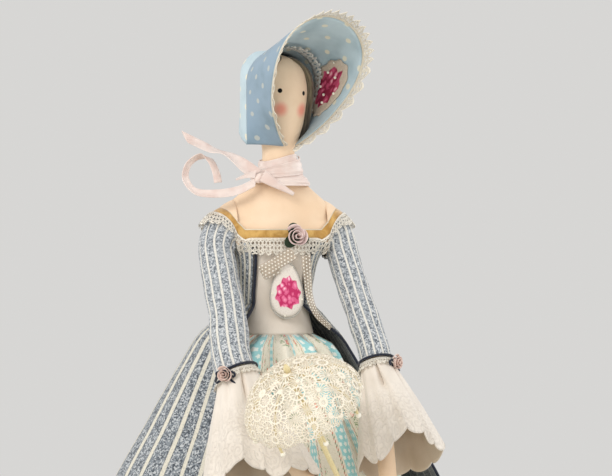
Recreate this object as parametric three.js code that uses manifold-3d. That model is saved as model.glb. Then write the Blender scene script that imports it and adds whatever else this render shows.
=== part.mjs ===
// A dressed rag doll: stuffed body, open coat over a gathered petticoat, poke bonnet and lace parasol.
// Millimetres. The doll faces -Y, its left side is +X, up is +Z, and it stands on the floor at z = 0.

import * as THREE from 'three';
import { mergeVertices } from 'three/addons/utils/BufferGeometryUtils.js';
import Module from 'manifold-3d';

const wasm = await Module();
wasm.setup();

// Stuffed body
const waistHeight = 320;
const seamHeight = waistHeight - 19;
const hipHeight = seamHeight - 13;
const seatHeight = hipHeight - 16;
const hipPivotHeight = seatHeight - 9;
const bustHeight = 345;
const shoulderPivotHeight = 366;
const shoulderTopHeight = shoulderPivotHeight + 16;
const neckBaseHeight = shoulderPivotHeight + 37;
const neckJoinHeight = shoulderPivotHeight + 44;
const headLength = 71.5;
const headHeight = neckJoinHeight + headLength;
const hipHalfWidth = 27;
const hipHalfDepth = 19;
const waistHalfWidth = 24.5;
const waistHalfDepth = 17;
const bustHalfWidth = 27;
const bustHalfDepth = 19;
const chestHalfDepth = 18.5;
const shoulderHalfWidth = 36;
const shoulderHalfDepth = 15.5;
const neckRadius = 10.5;
const faceHalfWidth = 20;
const faceHalfDepth = 20.5;
const headTurn = THREE.MathUtils.degToRad(20);
const armholeX = 30.2;

// Arms, measured from the shoulder pivots
const armSwing = THREE.MathUtils.degToRad(33);
const upperArmRadius = 7.4;
const elbowRadius = 7;
const wristRadius = 5.6;
const handHalfWidth = 7.6;
const handHalfDepth = 5.4;
const rightElbow = new THREE.Vector3(-38, -58, 279);
const rightWrist = new THREE.Vector3(3, -85, 212);
const leftElbow = new THREE.Vector3(54, -54, 285);
const leftWrist = new THREE.Vector3(55, -76, 214);
const leftHand = new THREE.Vector3(53.5, -86, 178);
const handLength = 20;
const shoulderGap = 0.4;

// Legs
const legSpacing = 26;
const thighRadius = 11;
const kneeRadius = 9;
const ankleRadius = 6.5;
const ankleHeight = 16;
const kneeHeight = 140;
const footLength = 34;

// Cloth
const clothGap = 0.5;
const clothThickness = 1.2;
const coatThickness = 1.4;
const skirtThickness = 1.6;
const coatFrontHalfWidth = 17.5;
const necklineHeight = shoulderPivotHeight + 2;
const necklineCorner = 21.2;
const necklineReach = armholeX - 0.5;
const bandWidth = 7;
const bandWidthOnSlope = 9.4;
const bandClearance = 0.9;
const neckLaceWidth = 10;
const laceThickness = 0.8;
const pipingRadius = 0.9;

// Skirts: height, half-width, depth in front, depth behind, for the coat's middle surface
const skirtProfile = [
  [0, 174, 175, 166],
  [50, 167, 148, 157],
  [100, 153, 120, 141],
  [150, 132, 95, 119],
  [209, 104.5, 70, 94],
  [240, 87, 60, 79],
  [271, 68, 46.5, 62],
  [286, 58.5, 40, 53],
  [301, 48, 32.5, 43],
  [312, 37, 26, 32],
  [waistHeight, waistHalfWidth + 3.6, waistHalfDepth + 3.6, waistHalfDepth + 3.6],
];
const coatFolds = 12;
const coatFoldDepth = 4;
// The coat's front edges, in degrees from the front: height, right side, left side
const coatOpening = [
  [200, 28, 58],
  [285, 32, 58],
  [293, 35, 53],
  [301, 39, 47],
  [312, 41, 43],
];
const pleatCount = 16;
const pleatDepth = 4.5;
const pleatDepthAtWaist = 1.2;

// Sleeves and cuffs
const sleeveHeadRadius = 16;
const rightSleeve = { radius: 11, end: 12 };
const leftSleeve = { radius: 9.5, end: 9.2 };
const cuffThickness = 1.2;
const cuffScallops = 11;
const cuffScallopDepth = 1.8;
const cuffFolds = 5;
const cuffFoldDepth = 1.6;
const cuffCordRadius = 1.1;
const cuffLaceWidth = 4;
// The cuffs' hems, each from its outer side: the right one by the back, the left one by the front
const rightCuffHem = [
  [-60, -84, 206],
  [-70, -71, 212],
  [-58, -70, 206],
  [-40, -71.5, 203],
  [-21, -73, 205],
  [-3, -74.5, 211],
  [9, -83, 220],
  [2, -94, 223],
  [-10, -98, 226],
  [-20.5, -98, 221],
  [-34, -98, 227.5],
  [-43, -97, 231],
  [-54, -92, 218],
];
const leftCuffHem = [
  [91, -72, 233],
  [84, -84, 235],
  [77.5, -88, 241.5],
  [67.5, -90, 246.5],
  [60, -90, 245],
  [53, -89, 235],
  [45.4, -87, 226.5],
  [38, -78, 229],
  [40, -65, 219],
  [52, -60, 214],
  [66, -54, 216],
  [80, -52, 217.5],
  [90, -60, 223],
];

// Bonnet, in the turned frame of the head
const crownHalfWidth = 23;
const crownHalfDepth = 26;
const crownAboveNeck = 74.3;
const crownTopHeight = neckJoinHeight + crownAboveNeck;
const bonnetHemHeight = neckJoinHeight + 16;
const curtainDrop = 3.5;
const curtainRise = 10;
const bonnetThickness = 1.5;
const brimHalfWidth = 31.5;
const brimAboveNeck = 92;
const brimTopHeight = neckJoinHeight + brimAboveNeck;
const brimWideHeight = neckJoinHeight + 62;
const brimChinHeight = neckJoinHeight + 12.5;
// How far the rim stands forwards, by height above the neck's joint
const brimReach = [
  [12, 14],
  [26, 26],
  [36, 33],
  [45, 39.5],
  [55, 46],
  [69, 53],
  [82, 57],
  [96, 60],
];
const brimLaceWidth = 5;
const frillWidth = 5;

// Parasol
const canopyCentre = new THREE.Vector3(-8.7, -124, 262.6);
const parasolAxis = new THREE.Vector3(-0.451, -0.415, 0.79).normalize();
const canopyRadius = 37.5;
const canopyDepth = 27;
const canopyThickness = 1;
const canopyScallops = 16;
const canopyScallopDepth = 3;
const ribCount = 8;
const ribRadius = 0.8;
const ribOverhang = 6;
const ribBeadRadius = 1.7;
const stickRadius = 1.6;
const stickBelowHand = 14;
const handToRim = 86;
const finialHeight = 6;
const gripGap = 0.35;

// Trims
const roseRadius = 8;
const cuffRoseRadius = 5;
const medallionHalfWidth = 10;
const medallionHalfHeight = 17;
const medallionThickness = 2;
const medallionHeight = necklineHeight - 39;
const neckRibbonWidth = 14;
const ribbonThickness = 0.8;
const organzaWidth = 12;

const TURN = Math.PI * 2;
const X_AXIS = new THREE.Vector3(1, 0, 0);
const Z_AXIS = new THREE.Vector3(0, 0, 1);
const vec = (x, y, z) => new THREE.Vector3(x, y, z);
const lerp = THREE.MathUtils.lerp;
const smooth = (value, low, high) => THREE.MathUtils.smoothstep(value, low, high);

const group = new THREE.Group();

const colours = {
  skin: [0xe8cfa6, 0.9],
  hair: [0x6b5038, 0.95],
  bonnet: [0x9db8c8, 0.85],
  coat: [0x8a96a6, 0.9],
  bodice: [0xd7cdc3, 0.85],
  petticoat: [0x7cc0c0, 0.85],
  lace: [0xe8decb, 0.9],
  velvet: [0xbe964b, 0.8],
  navy: [0x1c2436, 0.7],
  rose: [0xc9a5a4, 0.8],
  leaf: [0x3c4a33, 0.85],
  cuff: [0xded2c8, 0.85],
  ribbon: [0xecd8cc, 0.6],
  organza: [0xb9a793, 0.6],
  ivory: [0xefe6d2, 0.5],
  metal: [0xb8b2a6, 0.35],
  parasol: [0xe6d8b4, 0.85],
  wood: [0xeadcb0, 0.55],
};

// Adds one named piece, with the colour and roughness of its cloth.
function piece(parent, name, geometry, tint) {
  const [color, roughness] = colours[tint];
  const metalness = tint === 'metal' ? 0.8 : 0;
  const material = new THREE.MeshStandardMaterial({ color, roughness, metalness });
  const mesh = new THREE.Mesh(geometry, material);
  mesh.name = name;
  parent.add(mesh);
  return mesh;
}

// Builds a geometry from points and triangles, with its faces turned outwards.
function closedGeometry(points, triangles) {
  let volume = 0;
  const cross = vec(0, 0, 0);
  for (const [a, b, c] of triangles) {
    volume += points[a].dot(cross.crossVectors(points[b], points[c]));
  }
  const index = triangles.flatMap(([a, b, c]) => (volume > 0 ? [a, b, c] : [a, c, b]));
  const geometry = new THREE.BufferGeometry();
  const flat = points.flatMap((point) => point.toArray());
  geometry.setAttribute('position', new THREE.Float32BufferAttribute(flat, 3));
  geometry.setIndex(index);
  return geometry;
}

// A cloth of even thickness about the surface at(u, v). A level cloth is thickened sideways only,
// so that its hem lies flat.
function cloth(at, columns, rows, thickness, { closed = false, level = false } = {}) {
  const step = 0.001;
  const across = closed ? columns : columns + 1;
  const outer = [];
  const inner = [];
  for (let j = 0; j <= rows; j += 1) {
    for (let i = 0; i < across; i += 1) {
      const u = i / columns;
      const v = j / rows;
      const uLow = closed ? u - step : Math.max(u - step, 0);
      const uHigh = closed ? u + step : Math.min(u + step, 1);
      const along = at(uHigh, v).sub(at(uLow, v));
      const down = at(u, Math.min(v + step, 1)).sub(at(u, Math.max(v - step, 0)));
      const normal = along.cross(down);
      if (level) normal.z = 0;
      normal.setLength(thickness / 2);
      outer.push(at(u, v).add(normal));
      inner.push(at(u, v).sub(normal));
    }
  }
  const points = [...outer, ...inner];
  const under = outer.length;
  const index = (i, j) => j * across + (i % across);
  const triangles = [];
  const quad = (a, b, c, d) => triangles.push([a, b, c], [a, c, d]);
  for (let j = 0; j < rows; j += 1) {
    for (let i = 0; i < columns; i += 1) {
      const [a, b, c, d] = [index(i, j), index(i + 1, j), index(i + 1, j + 1), index(i, j + 1)];
      quad(a, b, c, d);
      quad(under + a, under + d, under + c, under + b);
    }
  }
  for (let i = 0; i < columns; i += 1) {
    const [a, b] = [index(i, 0), index(i + 1, 0)];
    const [c, d] = [index(i, rows), index(i + 1, rows)];
    quad(a, under + a, under + b, b);
    quad(c, d, under + d, under + c);
  }
  for (let j = 0; j < rows && !closed; j += 1) {
    const [a, b] = [index(0, j), index(0, j + 1)];
    const [c, d] = [index(columns, j), index(columns, j + 1)];
    quad(a, b, under + b, under + a);
    quad(c, under + c, under + d, d);
  }
  return closedGeometry(points, triangles);
}

// A stuffed form: rings of points skinned in order and closed by a point at each end.
function stuffed(rings) {
  const count = rings[0].length;
  const points = rings.flat();
  const triangles = [];
  for (let j = 0; j + 1 < rings.length; j += 1) {
    for (let i = 0; i < count; i += 1) {
      const next = (i + 1) % count;
      const [a, b, c, d] = [j * count + i, j * count + next, (j + 1) * count + next, (j + 1) * count + i];
      triangles.push([a, b, c], [a, c, d]);
    }
  }
  const ends = [rings[0], rings[rings.length - 1]];
  ends.forEach((ring, end) => {
    const middle = points.length;
    const start = end === 0 ? 0 : (rings.length - 1) * count;
    points.push(ring.reduce((sum, point) => sum.add(point), vec(0, 0, 0)).divideScalar(count));
    for (let i = 0; i < count; i += 1) {
      const next = (i + 1) % count;
      triangles.push(end === 0 ? [middle, start + next, start + i] : [middle, start + i, start + next]);
    }
  });
  return closedGeometry(points, triangles);
}

// A ring of points round a centre, between two directions with their radii.
function ring(centre, side, sideRadius, forward, forwardRadius, count) {
  return Array.from({ length: count }, (_, i) => {
    const angle = (i / count) * TURN;
    return centre
      .clone()
      .addScaledVector(side, Math.cos(angle) * sideRadius)
      .addScaledVector(forward, Math.sin(angle) * forwardRadius);
  });
}

// A tube of even radius along a curve.
function tube(curve, radius, steps, sides) {
  const corners = Array.from({ length: sides }, (_, i) => {
    const angle = (i / sides) * TURN;
    return new THREE.Vector2(Math.cos(angle) * radius, Math.sin(angle) * radius);
  });
  const section = new THREE.Shape(corners);
  return new THREE.ExtrudeGeometry(section, { steps, extrudePath: curve, bevelEnabled: false });
}

// The surface at(u, v), moved along its own normal.
function raised(at, distance) {
  const step = 0.001;
  return (u, v) => {
    const along = at(Math.min(u + step, 1), v).sub(at(Math.max(u - step, 0), v));
    const down = at(u, Math.min(v + step, 1)).sub(at(u, Math.max(v - step, 0)));
    return at(u, v).add(along.cross(down).setLength(distance));
  };
}

// Reads a table of heights and sizes at a height, with a smooth curve through its rows.
function profileAt(table, height, column) {
  const last = table.length - 1;
  if (height <= table[0][0]) return table[0][column];
  if (height >= table[last][0]) return table[last][column];
  const i = table.findIndex((row, n) => n < last && height <= table[n + 1][0]);
  const slope = (n) => {
    const [below, above] = [table[Math.max(n - 1, 0)], table[Math.min(n + 1, last)]];
    return (above[column] - below[column]) / (above[0] - below[0]);
  };
  const span = table[i + 1][0] - table[i][0];
  const t = (height - table[i][0]) / span;
  const [start, end] = [table[i][column], table[i + 1][column]];
  const [leave, arrive] = [slope(i) * span, slope(i + 1) * span];
  const t2 = t * t;
  const t3 = t2 * t;
  const ends = (2 * t3 - 3 * t2 + 1) * start + (3 * t2 - 2 * t3) * end;
  return ends + (t3 - 2 * t2 + t) * leave + (t3 - t2) * arrive;
}

// Booleans
function toSolid(geometry) {
  const bare = geometry.clone();
  bare.deleteAttribute('normal');
  bare.deleteAttribute('uv');
  const merged = mergeVertices(bare, 1e-5);
  const vertProperties = new Float32Array(merged.attributes.position.array);
  const triVerts = new Uint32Array(merged.index.array);
  return new wasm.Manifold(new wasm.Mesh({ numProp: 3, vertProperties, triVerts }));
}

function fromSolid(solid) {
  const mesh = solid.getMesh();
  const geometry = new THREE.BufferGeometry();
  geometry.setAttribute('position', new THREE.BufferAttribute(new Float32Array(mesh.vertProperties), 3));
  geometry.setIndex(new THREE.BufferAttribute(new Uint32Array(mesh.triVerts), 1));
  return geometry;
}

const cut = (geometry, tool) => fromSolid(toSolid(geometry).subtract(toSolid(tool)));
const keep = (geometry, tool) => fromSolid(toSolid(geometry).intersect(toSolid(tool)));

// A block between two corners.
function block(low, high) {
  const size = high.clone().sub(low);
  const middle = high.clone().add(low).multiplyScalar(0.5);
  return new THREE.BoxGeometry(size.x, size.y, size.z).translate(middle.x, middle.y, middle.z);
}

const betweenArmholes = block(vec(-armholeX, -headHeight, 0), vec(armholeX, headHeight, 2 * headHeight));

// Torso: height, half-width, half-depth and squareness of each section
const torsoProfile = [
  [seatHeight, 18, 12, 2],
  [seatHeight + 5, 23, 16, 2],
  [hipHeight, hipHalfWidth, hipHalfDepth, 2.1],
  [seamHeight, hipHalfWidth, hipHalfDepth, 2.1],
  [waistHeight, waistHalfWidth, waistHalfDepth, 2.1],
  [bustHeight, bustHalfWidth, bustHalfDepth, 2.2],
  [shoulderPivotHeight, shoulderHalfWidth, chestHalfDepth, 2.8],
  [shoulderTopHeight, shoulderHalfWidth, shoulderHalfDepth, 2.8],
  [shoulderTopHeight + 6, shoulderHalfWidth - 6.5, shoulderHalfDepth - 1.5, 2.5],
  [shoulderTopHeight + 14, neckRadius + 10, neckRadius + 2.1, 2.2],
  [neckBaseHeight, neckRadius + 4, neckRadius + 1, 2],
  [neckJoinHeight, neckRadius, neckRadius, 2],
];

// A point on the torso, or outside it by an offset; the angle is measured from the front.
function torsoPoint(angle, height, offset) {
  const halfWidth = profileAt(torsoProfile, height, 1) + offset;
  const halfDepth = profileAt(torsoProfile, height, 2) + offset;
  const power = 2 / profileAt(torsoProfile, height, 3);
  const [sin, cos] = [Math.sin(angle), Math.cos(angle)];
  const x = Math.sign(sin) * Math.abs(sin) ** power * halfWidth;
  const y = -Math.sign(cos) * Math.abs(cos) ** power * halfDepth;
  return vec(x, y, height);
}

// How far the torso reaches forwards or backwards at a distance from its middle.
function torsoReach(x, height, offset) {
  const halfWidth = profileAt(torsoProfile, height, 1);
  const halfDepth = profileAt(torsoProfile, height, 2);
  const power = profileAt(torsoProfile, height, 3);
  return halfDepth * (1 - Math.min(Math.abs(x) / halfWidth, 1) ** power) ** (1 / power) + offset;
}

function torso() {
  const heights = torsoProfile.map(([height]) => height);
  for (let i = 4; i < torsoProfile.length; i += 1) heights.push((heights[i] + heights[i - 1]) / 2);
  heights.sort((a, b) => a - b);
  const count = 20;
  const rings = heights.map((height) =>
    Array.from({ length: count }, (_, i) => torsoPoint((i / count) * TURN, height, 0)));
  return keep(stuffed(rings), betweenArmholes);
}

// Head and upper neck, in the turned frame: height, half-width, half-depth, forward shift
const headProfile = [
  [neckJoinHeight + shoulderGap, neckRadius, neckRadius, 0],
  [neckJoinHeight + 10, neckRadius, neckRadius + 0.5, 0.5],
  [neckJoinHeight + 17, neckRadius + 1.6, neckRadius + 2.5, 1.5],
  [neckJoinHeight + 26, 15.4, 16, 1.5],
  [neckJoinHeight + 36, 18.2, 19, 1],
  [neckJoinHeight + 47, faceHalfWidth, faceHalfDepth, 0.5],
  [neckJoinHeight + 56, faceHalfWidth - 0.6, faceHalfDepth - 0.5, 0],
  [headHeight - 8, 15.8, 17, 0],
  [headHeight - 2.5, 9.5, 11, 0],
  [headHeight, 3.5, 4, 0],
];

function headPoint(angle, height, offset) {
  const halfWidth = profileAt(headProfile, height, 1) + offset;
  const halfDepth = profileAt(headProfile, height, 2) + offset;
  const forward = profileAt(headProfile, height, 3);
  return vec(Math.sin(angle) * halfWidth, -Math.cos(angle) * halfDepth - forward, height);
}

const extraRings = [neckJoinHeight + 41, headHeight - 11.5, headHeight - 5];
const headHeights = [...headProfile.map(([height]) => height), ...extraRings].sort((a, b) => a - b);

function head() {
  const count = 20;
  return stuffed(headHeights.map((height) =>
    Array.from({ length: count }, (_, i) => headPoint((i / count) * TURN, height, 0))));
}

const hairThickness = 1.2;
const hairOffset = clothGap + 0.3 + hairThickness / 2;

// Hair laid over the sides, back and top of the head, open round the face.
function hair() {
  const rows = headHeights.filter((height) => height > bonnetHemHeight && height < headHeight - 1);
  const openAngle = [
    [bonnetHemHeight + 1, 78],
    [neckJoinHeight + 50, 68],
    [headHeight - 9.5, 52],
    [headHeight - 2.5, 20],
  ];
  const scalp = (u, v) => {
    const place = Math.min(v * (rows.length - 1), rows.length - 1.001);
    const i = Math.floor(place);
    const height = lerp(rows[i], rows[i + 1], place - i);
    const start = THREE.MathUtils.degToRad(profileAt(openAngle, height, 1));
    return headPoint(lerp(start, TURN - start, u), height, 0);
  };
  return cloth(raised(scalp, hairOffset), 14, rows.length - 1, hairThickness);
}

// Bonnet crown: a soft dome over the back of the head, down to a curtain at the nape.
function bonnetCrown() {
  const shape = (u, v) => {
    const rise = smooth(v, 0.45, 1);
    const hem = bonnetHemHeight - curtainDrop + curtainRise * Math.sin(u * Math.PI) ** 2;
    const height = lerp(hem, crownTopHeight, Math.min(v * 1.12, Math.sin((v * Math.PI) / 2) ** 0.92));
    const spread = Math.sqrt(Math.max(1 - rise ** 2.6, 0.0009));
    const curtain = 1 + 0.1 * (1 - smooth(v, 0, 0.25));
    return [height, spread * curtain];
  };
  const at = (u, v) => {
    const angle = lerp(Math.PI / 2, Math.PI * 1.5, u);
    const [height, spread] = shape(u, v);
    const x = Math.sin(angle) * crownHalfWidth * Math.min(spread, 1 + 0.02);
    return vec(x, clothGap - Math.cos(angle) * crownHalfDepth * spread, height);
  };
  return cloth(at, 14, 7, bonnetThickness);
}

// Bonnet brim: from the crown's front edge out to a wide egg-shaped rim that leans forwards at the top.
const brimEnd = 1.78;
function brimPoint(u, v) {
  const turn = (2 * u - 1) * brimEnd;
  const side = Math.sign(turn) || 1;
  const over = Math.min(Math.abs(turn), 1) * (Math.PI / 2);
  const under = Math.max(Math.abs(turn) - 1, 0) / (brimEnd - 1);
  const backRise = crownTopHeight - crownHalfWidth + 1;
  const overHead = (crownTopHeight - backRise) * Math.cos(over);
  const backHeight = backRise + overHead - (backRise - bonnetHemHeight) * under;
  const back = vec(side * crownHalfWidth * Math.sin(over) * (1 - 0.05 * under), -0.2, backHeight);
  const dip = under * THREE.MathUtils.degToRad(70);
  const rimHeight = brimWideHeight + (brimTopHeight - brimWideHeight) * Math.cos(over)
    - ((brimWideHeight - brimChinHeight) * Math.sin(dip)) / Math.sin(THREE.MathUtils.degToRad(70));
  const rimWidth = brimHalfWidth * Math.sin(over) * Math.cos(dip) ** 1.8;
  const rim = vec(side * rimWidth, -profileAt(brimReach, rimHeight - neckJoinHeight, 1), rimHeight);
  return back.lerp(rim, v);
}

function bonnetBrim() {
  return cloth(brimPoint, 22, 3, bonnetThickness);
}

// The brim carried on past its rim by a distance.
function brimBeyond(u, distance) {
  const edge = brimPoint(u, 1);
  const outward = edge.clone().sub(brimPoint(u, 0.8)).normalize();
  return edge.addScaledVector(outward, distance);
}

function bonnetPiping() {
  const points = Array.from({ length: 25 }, (_, i) => brimBeyond(i / 24, pipingRadius + 0.5));
  return tube(new THREE.CatmullRomCurve3(points), pipingRadius, 26, 4);
}

function bonnetLace() {
  const start = 2 * pipingRadius + 1;
  const points = 21;
  const at = (u, v) => {
    const tip = Math.abs(Math.sin(u * points * Math.PI));
    return brimBeyond(u, start + v * (brimLaceWidth - 2 + 2 * tip));
  };
  return cloth(at, points * 2, 1, laceThickness);
}

// A gathered lace frill standing round the face, sewn to the brim's lining.
function bonnetFrill() {
  const clear = bonnetThickness / 2 + clothGap;
  const lining = raised(brimPoint, clear);
  const at = (u, v) => {
    const along = lerp(0.14, 0.86, u);
    const edge = lining(along, 0.2);
    const inward = raised(brimPoint, clear + frillWidth)(along, 0.34);
    return edge.lerp(inward, v * 0.6);
  };
  return cloth(at, 24, 1, laceThickness);
}

// A flower patch with a scalloped edge on the lining of the brim's left side.
function bonnetPatch() {
  const lining = raised(brimPoint, bonnetThickness / 2 + clothGap + laceThickness / 2);
  const at = (u, v) => {
    const angle = u * TURN;
    const radius = v * (1 + 0.06 * Math.cos(8 * angle));
    return lining(0.735 + 0.085 * radius * Math.cos(angle), 0.66 + 0.27 * radius * Math.sin(angle));
  };
  const rim = (u, v) => at(u, lerp(0.12, 1, v));
  return cloth(rim, 24, 1, laceThickness, { closed: true });
}

// Clothes of the upper body
const bodiceOffset = clothGap + clothThickness / 2;
const coatGap = 0.9;
const coatOffset = bodiceOffset + clothThickness / 2 + coatGap + coatThickness / 2;
const bodiceTop = (x) => necklineAt(x) - bandDrop(x) - bandClearance;

// The neckline is level across the chest and climbs at 45 degrees from its corners to the shoulders.
function necklineAt(x) {
  return necklineHeight + Math.max(Math.abs(x) - necklineCorner, 0);
}

function bandDrop(x) {
  return lerp(bandWidth, bandWidthOnSlope, smooth(Math.abs(x), necklineCorner - 3, necklineCorner + 5));
}

function bodice() {
  const at = (u, v) => {
    const angle = u * TURN;
    const x = Math.sin(angle) * bustHalfWidth;
    return torsoPoint(angle, lerp(bodiceTop(x), seamHeight, v), bodiceOffset);
  };
  return keep(cloth(at, 20, 4, clothThickness, { closed: true, level: true }), betweenArmholes);
}

// The angle of the coat's front edge on one side, from the front, at a height.
function coatEdge(height, side) {
  if (height > waistHeight - 4) {
    return Math.asin(coatFrontHalfWidth / (profileAt(torsoProfile, height, 1) + coatOffset));
  }
  return THREE.MathUtils.degToRad(profileAt(coatOpening, height, side < 0 ? 1 : 2));
}

function coatBodice() {
  const at = (u, v) => {
    const edge = coatEdge(lerp(bodiceTop(coatFrontHalfWidth), waistHeight, v), 1);
    const angle = lerp(edge, TURN - edge, u);
    const x = Math.sin(angle) * bustHalfWidth;
    return torsoPoint(angle, lerp(bodiceTop(x), waistHeight + 0.3, v), coatOffset);
  };
  return keep(cloth(at, 18, 4, coatThickness, { level: true }), betweenArmholes);
}

// Skirts
const skirtBottom = 0;
const skirtRowCount = 10;
const skirtRow = (top, v) => lerp(skirtBottom, top, 1 - 0.5 * v - 0.5 * v * v);

function skirtPoint(angle, height, offset, fold) {
  const halfWidth = profileAt(skirtProfile, height, 1) + offset + fold;
  const reach = profileAt(skirtProfile, height, Math.cos(angle) > 0 ? 2 : 3) + offset + fold;
  return vec(Math.sin(angle) * halfWidth, -Math.cos(angle) * reach, height);
}

const foldGrowth = (height) => smooth(waistHeight - height, 8, waistHeight);
function coatFold(angle, height) {
  return coatFoldDepth * foldGrowth(height) * Math.cos(coatFolds * (angle - Math.PI));
}


function coatSkirt() {
  const at = (u, v) => {
    const height = skirtRow(waistHeight - 0.3, v);
    const angle = lerp(coatEdge(height, 1), TURN - coatEdge(height, -1), u);
    return skirtPoint(angle, height, 0, coatFold(angle, height));
  };
  return cloth(at, 34, skirtRowCount, skirtThickness, { level: true });
}

const petticoatTop = seamHeight - 0.6;
const skirtGap = 1.3;

// The petticoat's pleats stand full below the waist and stay clear inside the coat.
function petticoatPoint(angle, height) {
  const down = petticoatTop - height;
  const pleat = lerp(pleatDepthAtWaist, pleatDepth, smooth(down, 0, petticoatTop)) * smooth(down, 0, 6);
  const inset = coatFoldDepth * foldGrowth(height) + pleat + skirtThickness + skirtGap;
  const gathered = torsoPoint(angle, seamHeight, clothGap + skirtThickness / 2).setZ(height);
  const full = skirtPoint(angle, height, -inset, pleat * Math.cos(pleatCount * angle));
  const fullness = Math.sqrt(smooth(down, -0.01, 9));
  return gathered.lerp(full, fullness);
}

function petticoat() {
  const at = (u, v) => petticoatPoint(u * TURN, lerp(skirtBottom, petticoatTop, (1 - v) ** 1.35));
  return cloth(at, pleatCount * 3, 6, skirtThickness, { closed: true, level: true });
}

// The place a distance in front of an edge, where at(angle) runs along the cloth.
function beside(at, edge, distance) {
  const step = 0.01;
  const stretch = at(edge).distanceTo(at(edge - step)) / step;
  return at(edge - distance / stretch);
}

// Piping down each front of the coat, from the neckline to the hem.
function coatPiping(side) {
  const points = [];
  const clear = pipingRadius + 0.8;
  const bodiceRowCount = 4;
  for (let i = 0; i < bodiceRowCount; i += 1) {
    const height = lerp(bodiceTop(coatFrontHalfWidth) - 1, waistHeight, i / bodiceRowCount);
    const at = (angle) => torsoPoint(side * angle, height, coatOffset);
    points.push(beside(at, coatEdge(height, side), clear));
  }
  for (let i = 0; i <= skirtRowCount; i += 1) {
    const height = Math.max(skirtRow(waistHeight, i / skirtRowCount), pipingRadius);
    const edge = coatEdge(height, side);
    const at = (angle) => skirtPoint(side * angle, height, 0, coatFold(edge, height));
    points.push(beside(at, edge, clear));
  }
  return tube(new THREE.CatmullRomCurve3(points, false, 'catmullrom', 0.3), pipingRadius, 26, 4);
}

// Neckline band and lace across the chest or the back, between the armholes.
function necklineBand(facing) {
  const at = (u, v) => {
    const x = lerp(-necklineReach, necklineReach, u);
    const height = necklineAt(x) - v * bandDrop(x);
    return vec(x, facing * torsoReach(x, height, clothGap + clothThickness / 2), height);
  };
  return cloth(at, 14, 1, clothThickness);
}

const laceOffset = coatOffset + coatThickness / 2 + coatGap + laceThickness / 2;

function necklineLace(facing) {
  const scallops = 8;
  const at = (u, v) => {
    const x = lerp(-necklineReach, necklineReach, u);
    const top = necklineAt(x) - bandDrop(x) + 2;
    const scallop = 1.5 * Math.abs(Math.sin(u * scallops * Math.PI));
    const height = top - v * (neckLaceWidth + scallop);
    const onBand = 2 * clothGap + clothThickness + laceThickness / 2 + 0.6;
    const stand = lerp(onBand, laceOffset, smooth(v, 0, 0.2));
    return vec(x, facing * torsoReach(x, height, stand + 1.2 * v), height);
  };
  return cloth(at, scallops * 2, 3, laceThickness);
}

// Arms. Each is shaped as it hangs, then swung forwards about its shoulder pivot.
const pivotX = armholeX + shoulderGap;

// A section of the sleeve's head, turned about the armpit from the armhole (0) to the arm (a right angle).
function shoulderSection(side, sleeveRadius, turn) {
  const armpit = vec(side * 0.2, 0, -(sleeveHeadRadius + shoulderGap));
  const out = vec(side * Math.sin(turn), 0, Math.cos(turn));
  const radius = sleeveRadius + (sleeveHeadRadius - sleeveRadius) * Math.cos(turn) ** 3;
  const centre = armpit.addScaledVector(out, radius + shoulderGap);
  return { centre, side: out, forward: vec(0, -side, 0), radius };
}

// The curve of one arm below its shoulder, in the arm's own frame.
function armCurve(side, start, places) {
  const pivot = vec(side * pivotX, 0, shoulderPivotHeight);
  const hanging = (place) => place.clone().sub(pivot).applyAxisAngle(X_AXIS, armSwing);
  const [elbow, wrist, hand] = places.map(hanging);
  const points = [start, start.clone().lerp(elbow, 0.5), elbow, elbow.clone().lerp(wrist, 0.5), wrist, hand];
  return new THREE.CatmullRomCurve3(points, false, 'centripetal');
}

function sectionsAlong(curve, side, from, to, steps, radiusAt) {
  return Array.from({ length: steps + 1 }, (_, i) => {
    const t = lerp(from, to, i / steps);
    const tangent = curve.getTangent(t);
    const out = vec(side, 0, 0);
    out.addScaledVector(tangent, -out.dot(tangent)).normalize();
    return { centre: curve.getPoint(t), side: out, forward: tangent.clone().cross(out), radius: radiusAt(t) };
  });
}

const ringOf = ({ centre, side, forward, radius, flat = 1 }, count) =>
  ring(centre, side, radius, forward, radius * flat, count);

// The surface through a list of sections; u goes round and v along.
function sectionSurface(sections) {
  return (u, v) => {
    const place = v * (sections.length - 1);
    const i = Math.min(Math.floor(place), sections.length - 2);
    const [near, far] = [sections[i], sections[i + 1]];
    const t = place - i;
    const radius = lerp(near.radius, far.radius, t);
    const side = near.side.clone().lerp(far.side, t).normalize();
    const forward = near.forward.clone().lerp(far.forward, t).normalize();
    const angle = u * TURN;
    return near.centre.clone().lerp(far.centre, t)
      .addScaledVector(side, Math.cos(angle) * radius)
      .addScaledVector(forward, Math.sin(angle) * radius);
  };
}

const elbowShare = 0.4;
const wristShare = 0.8;

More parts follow.
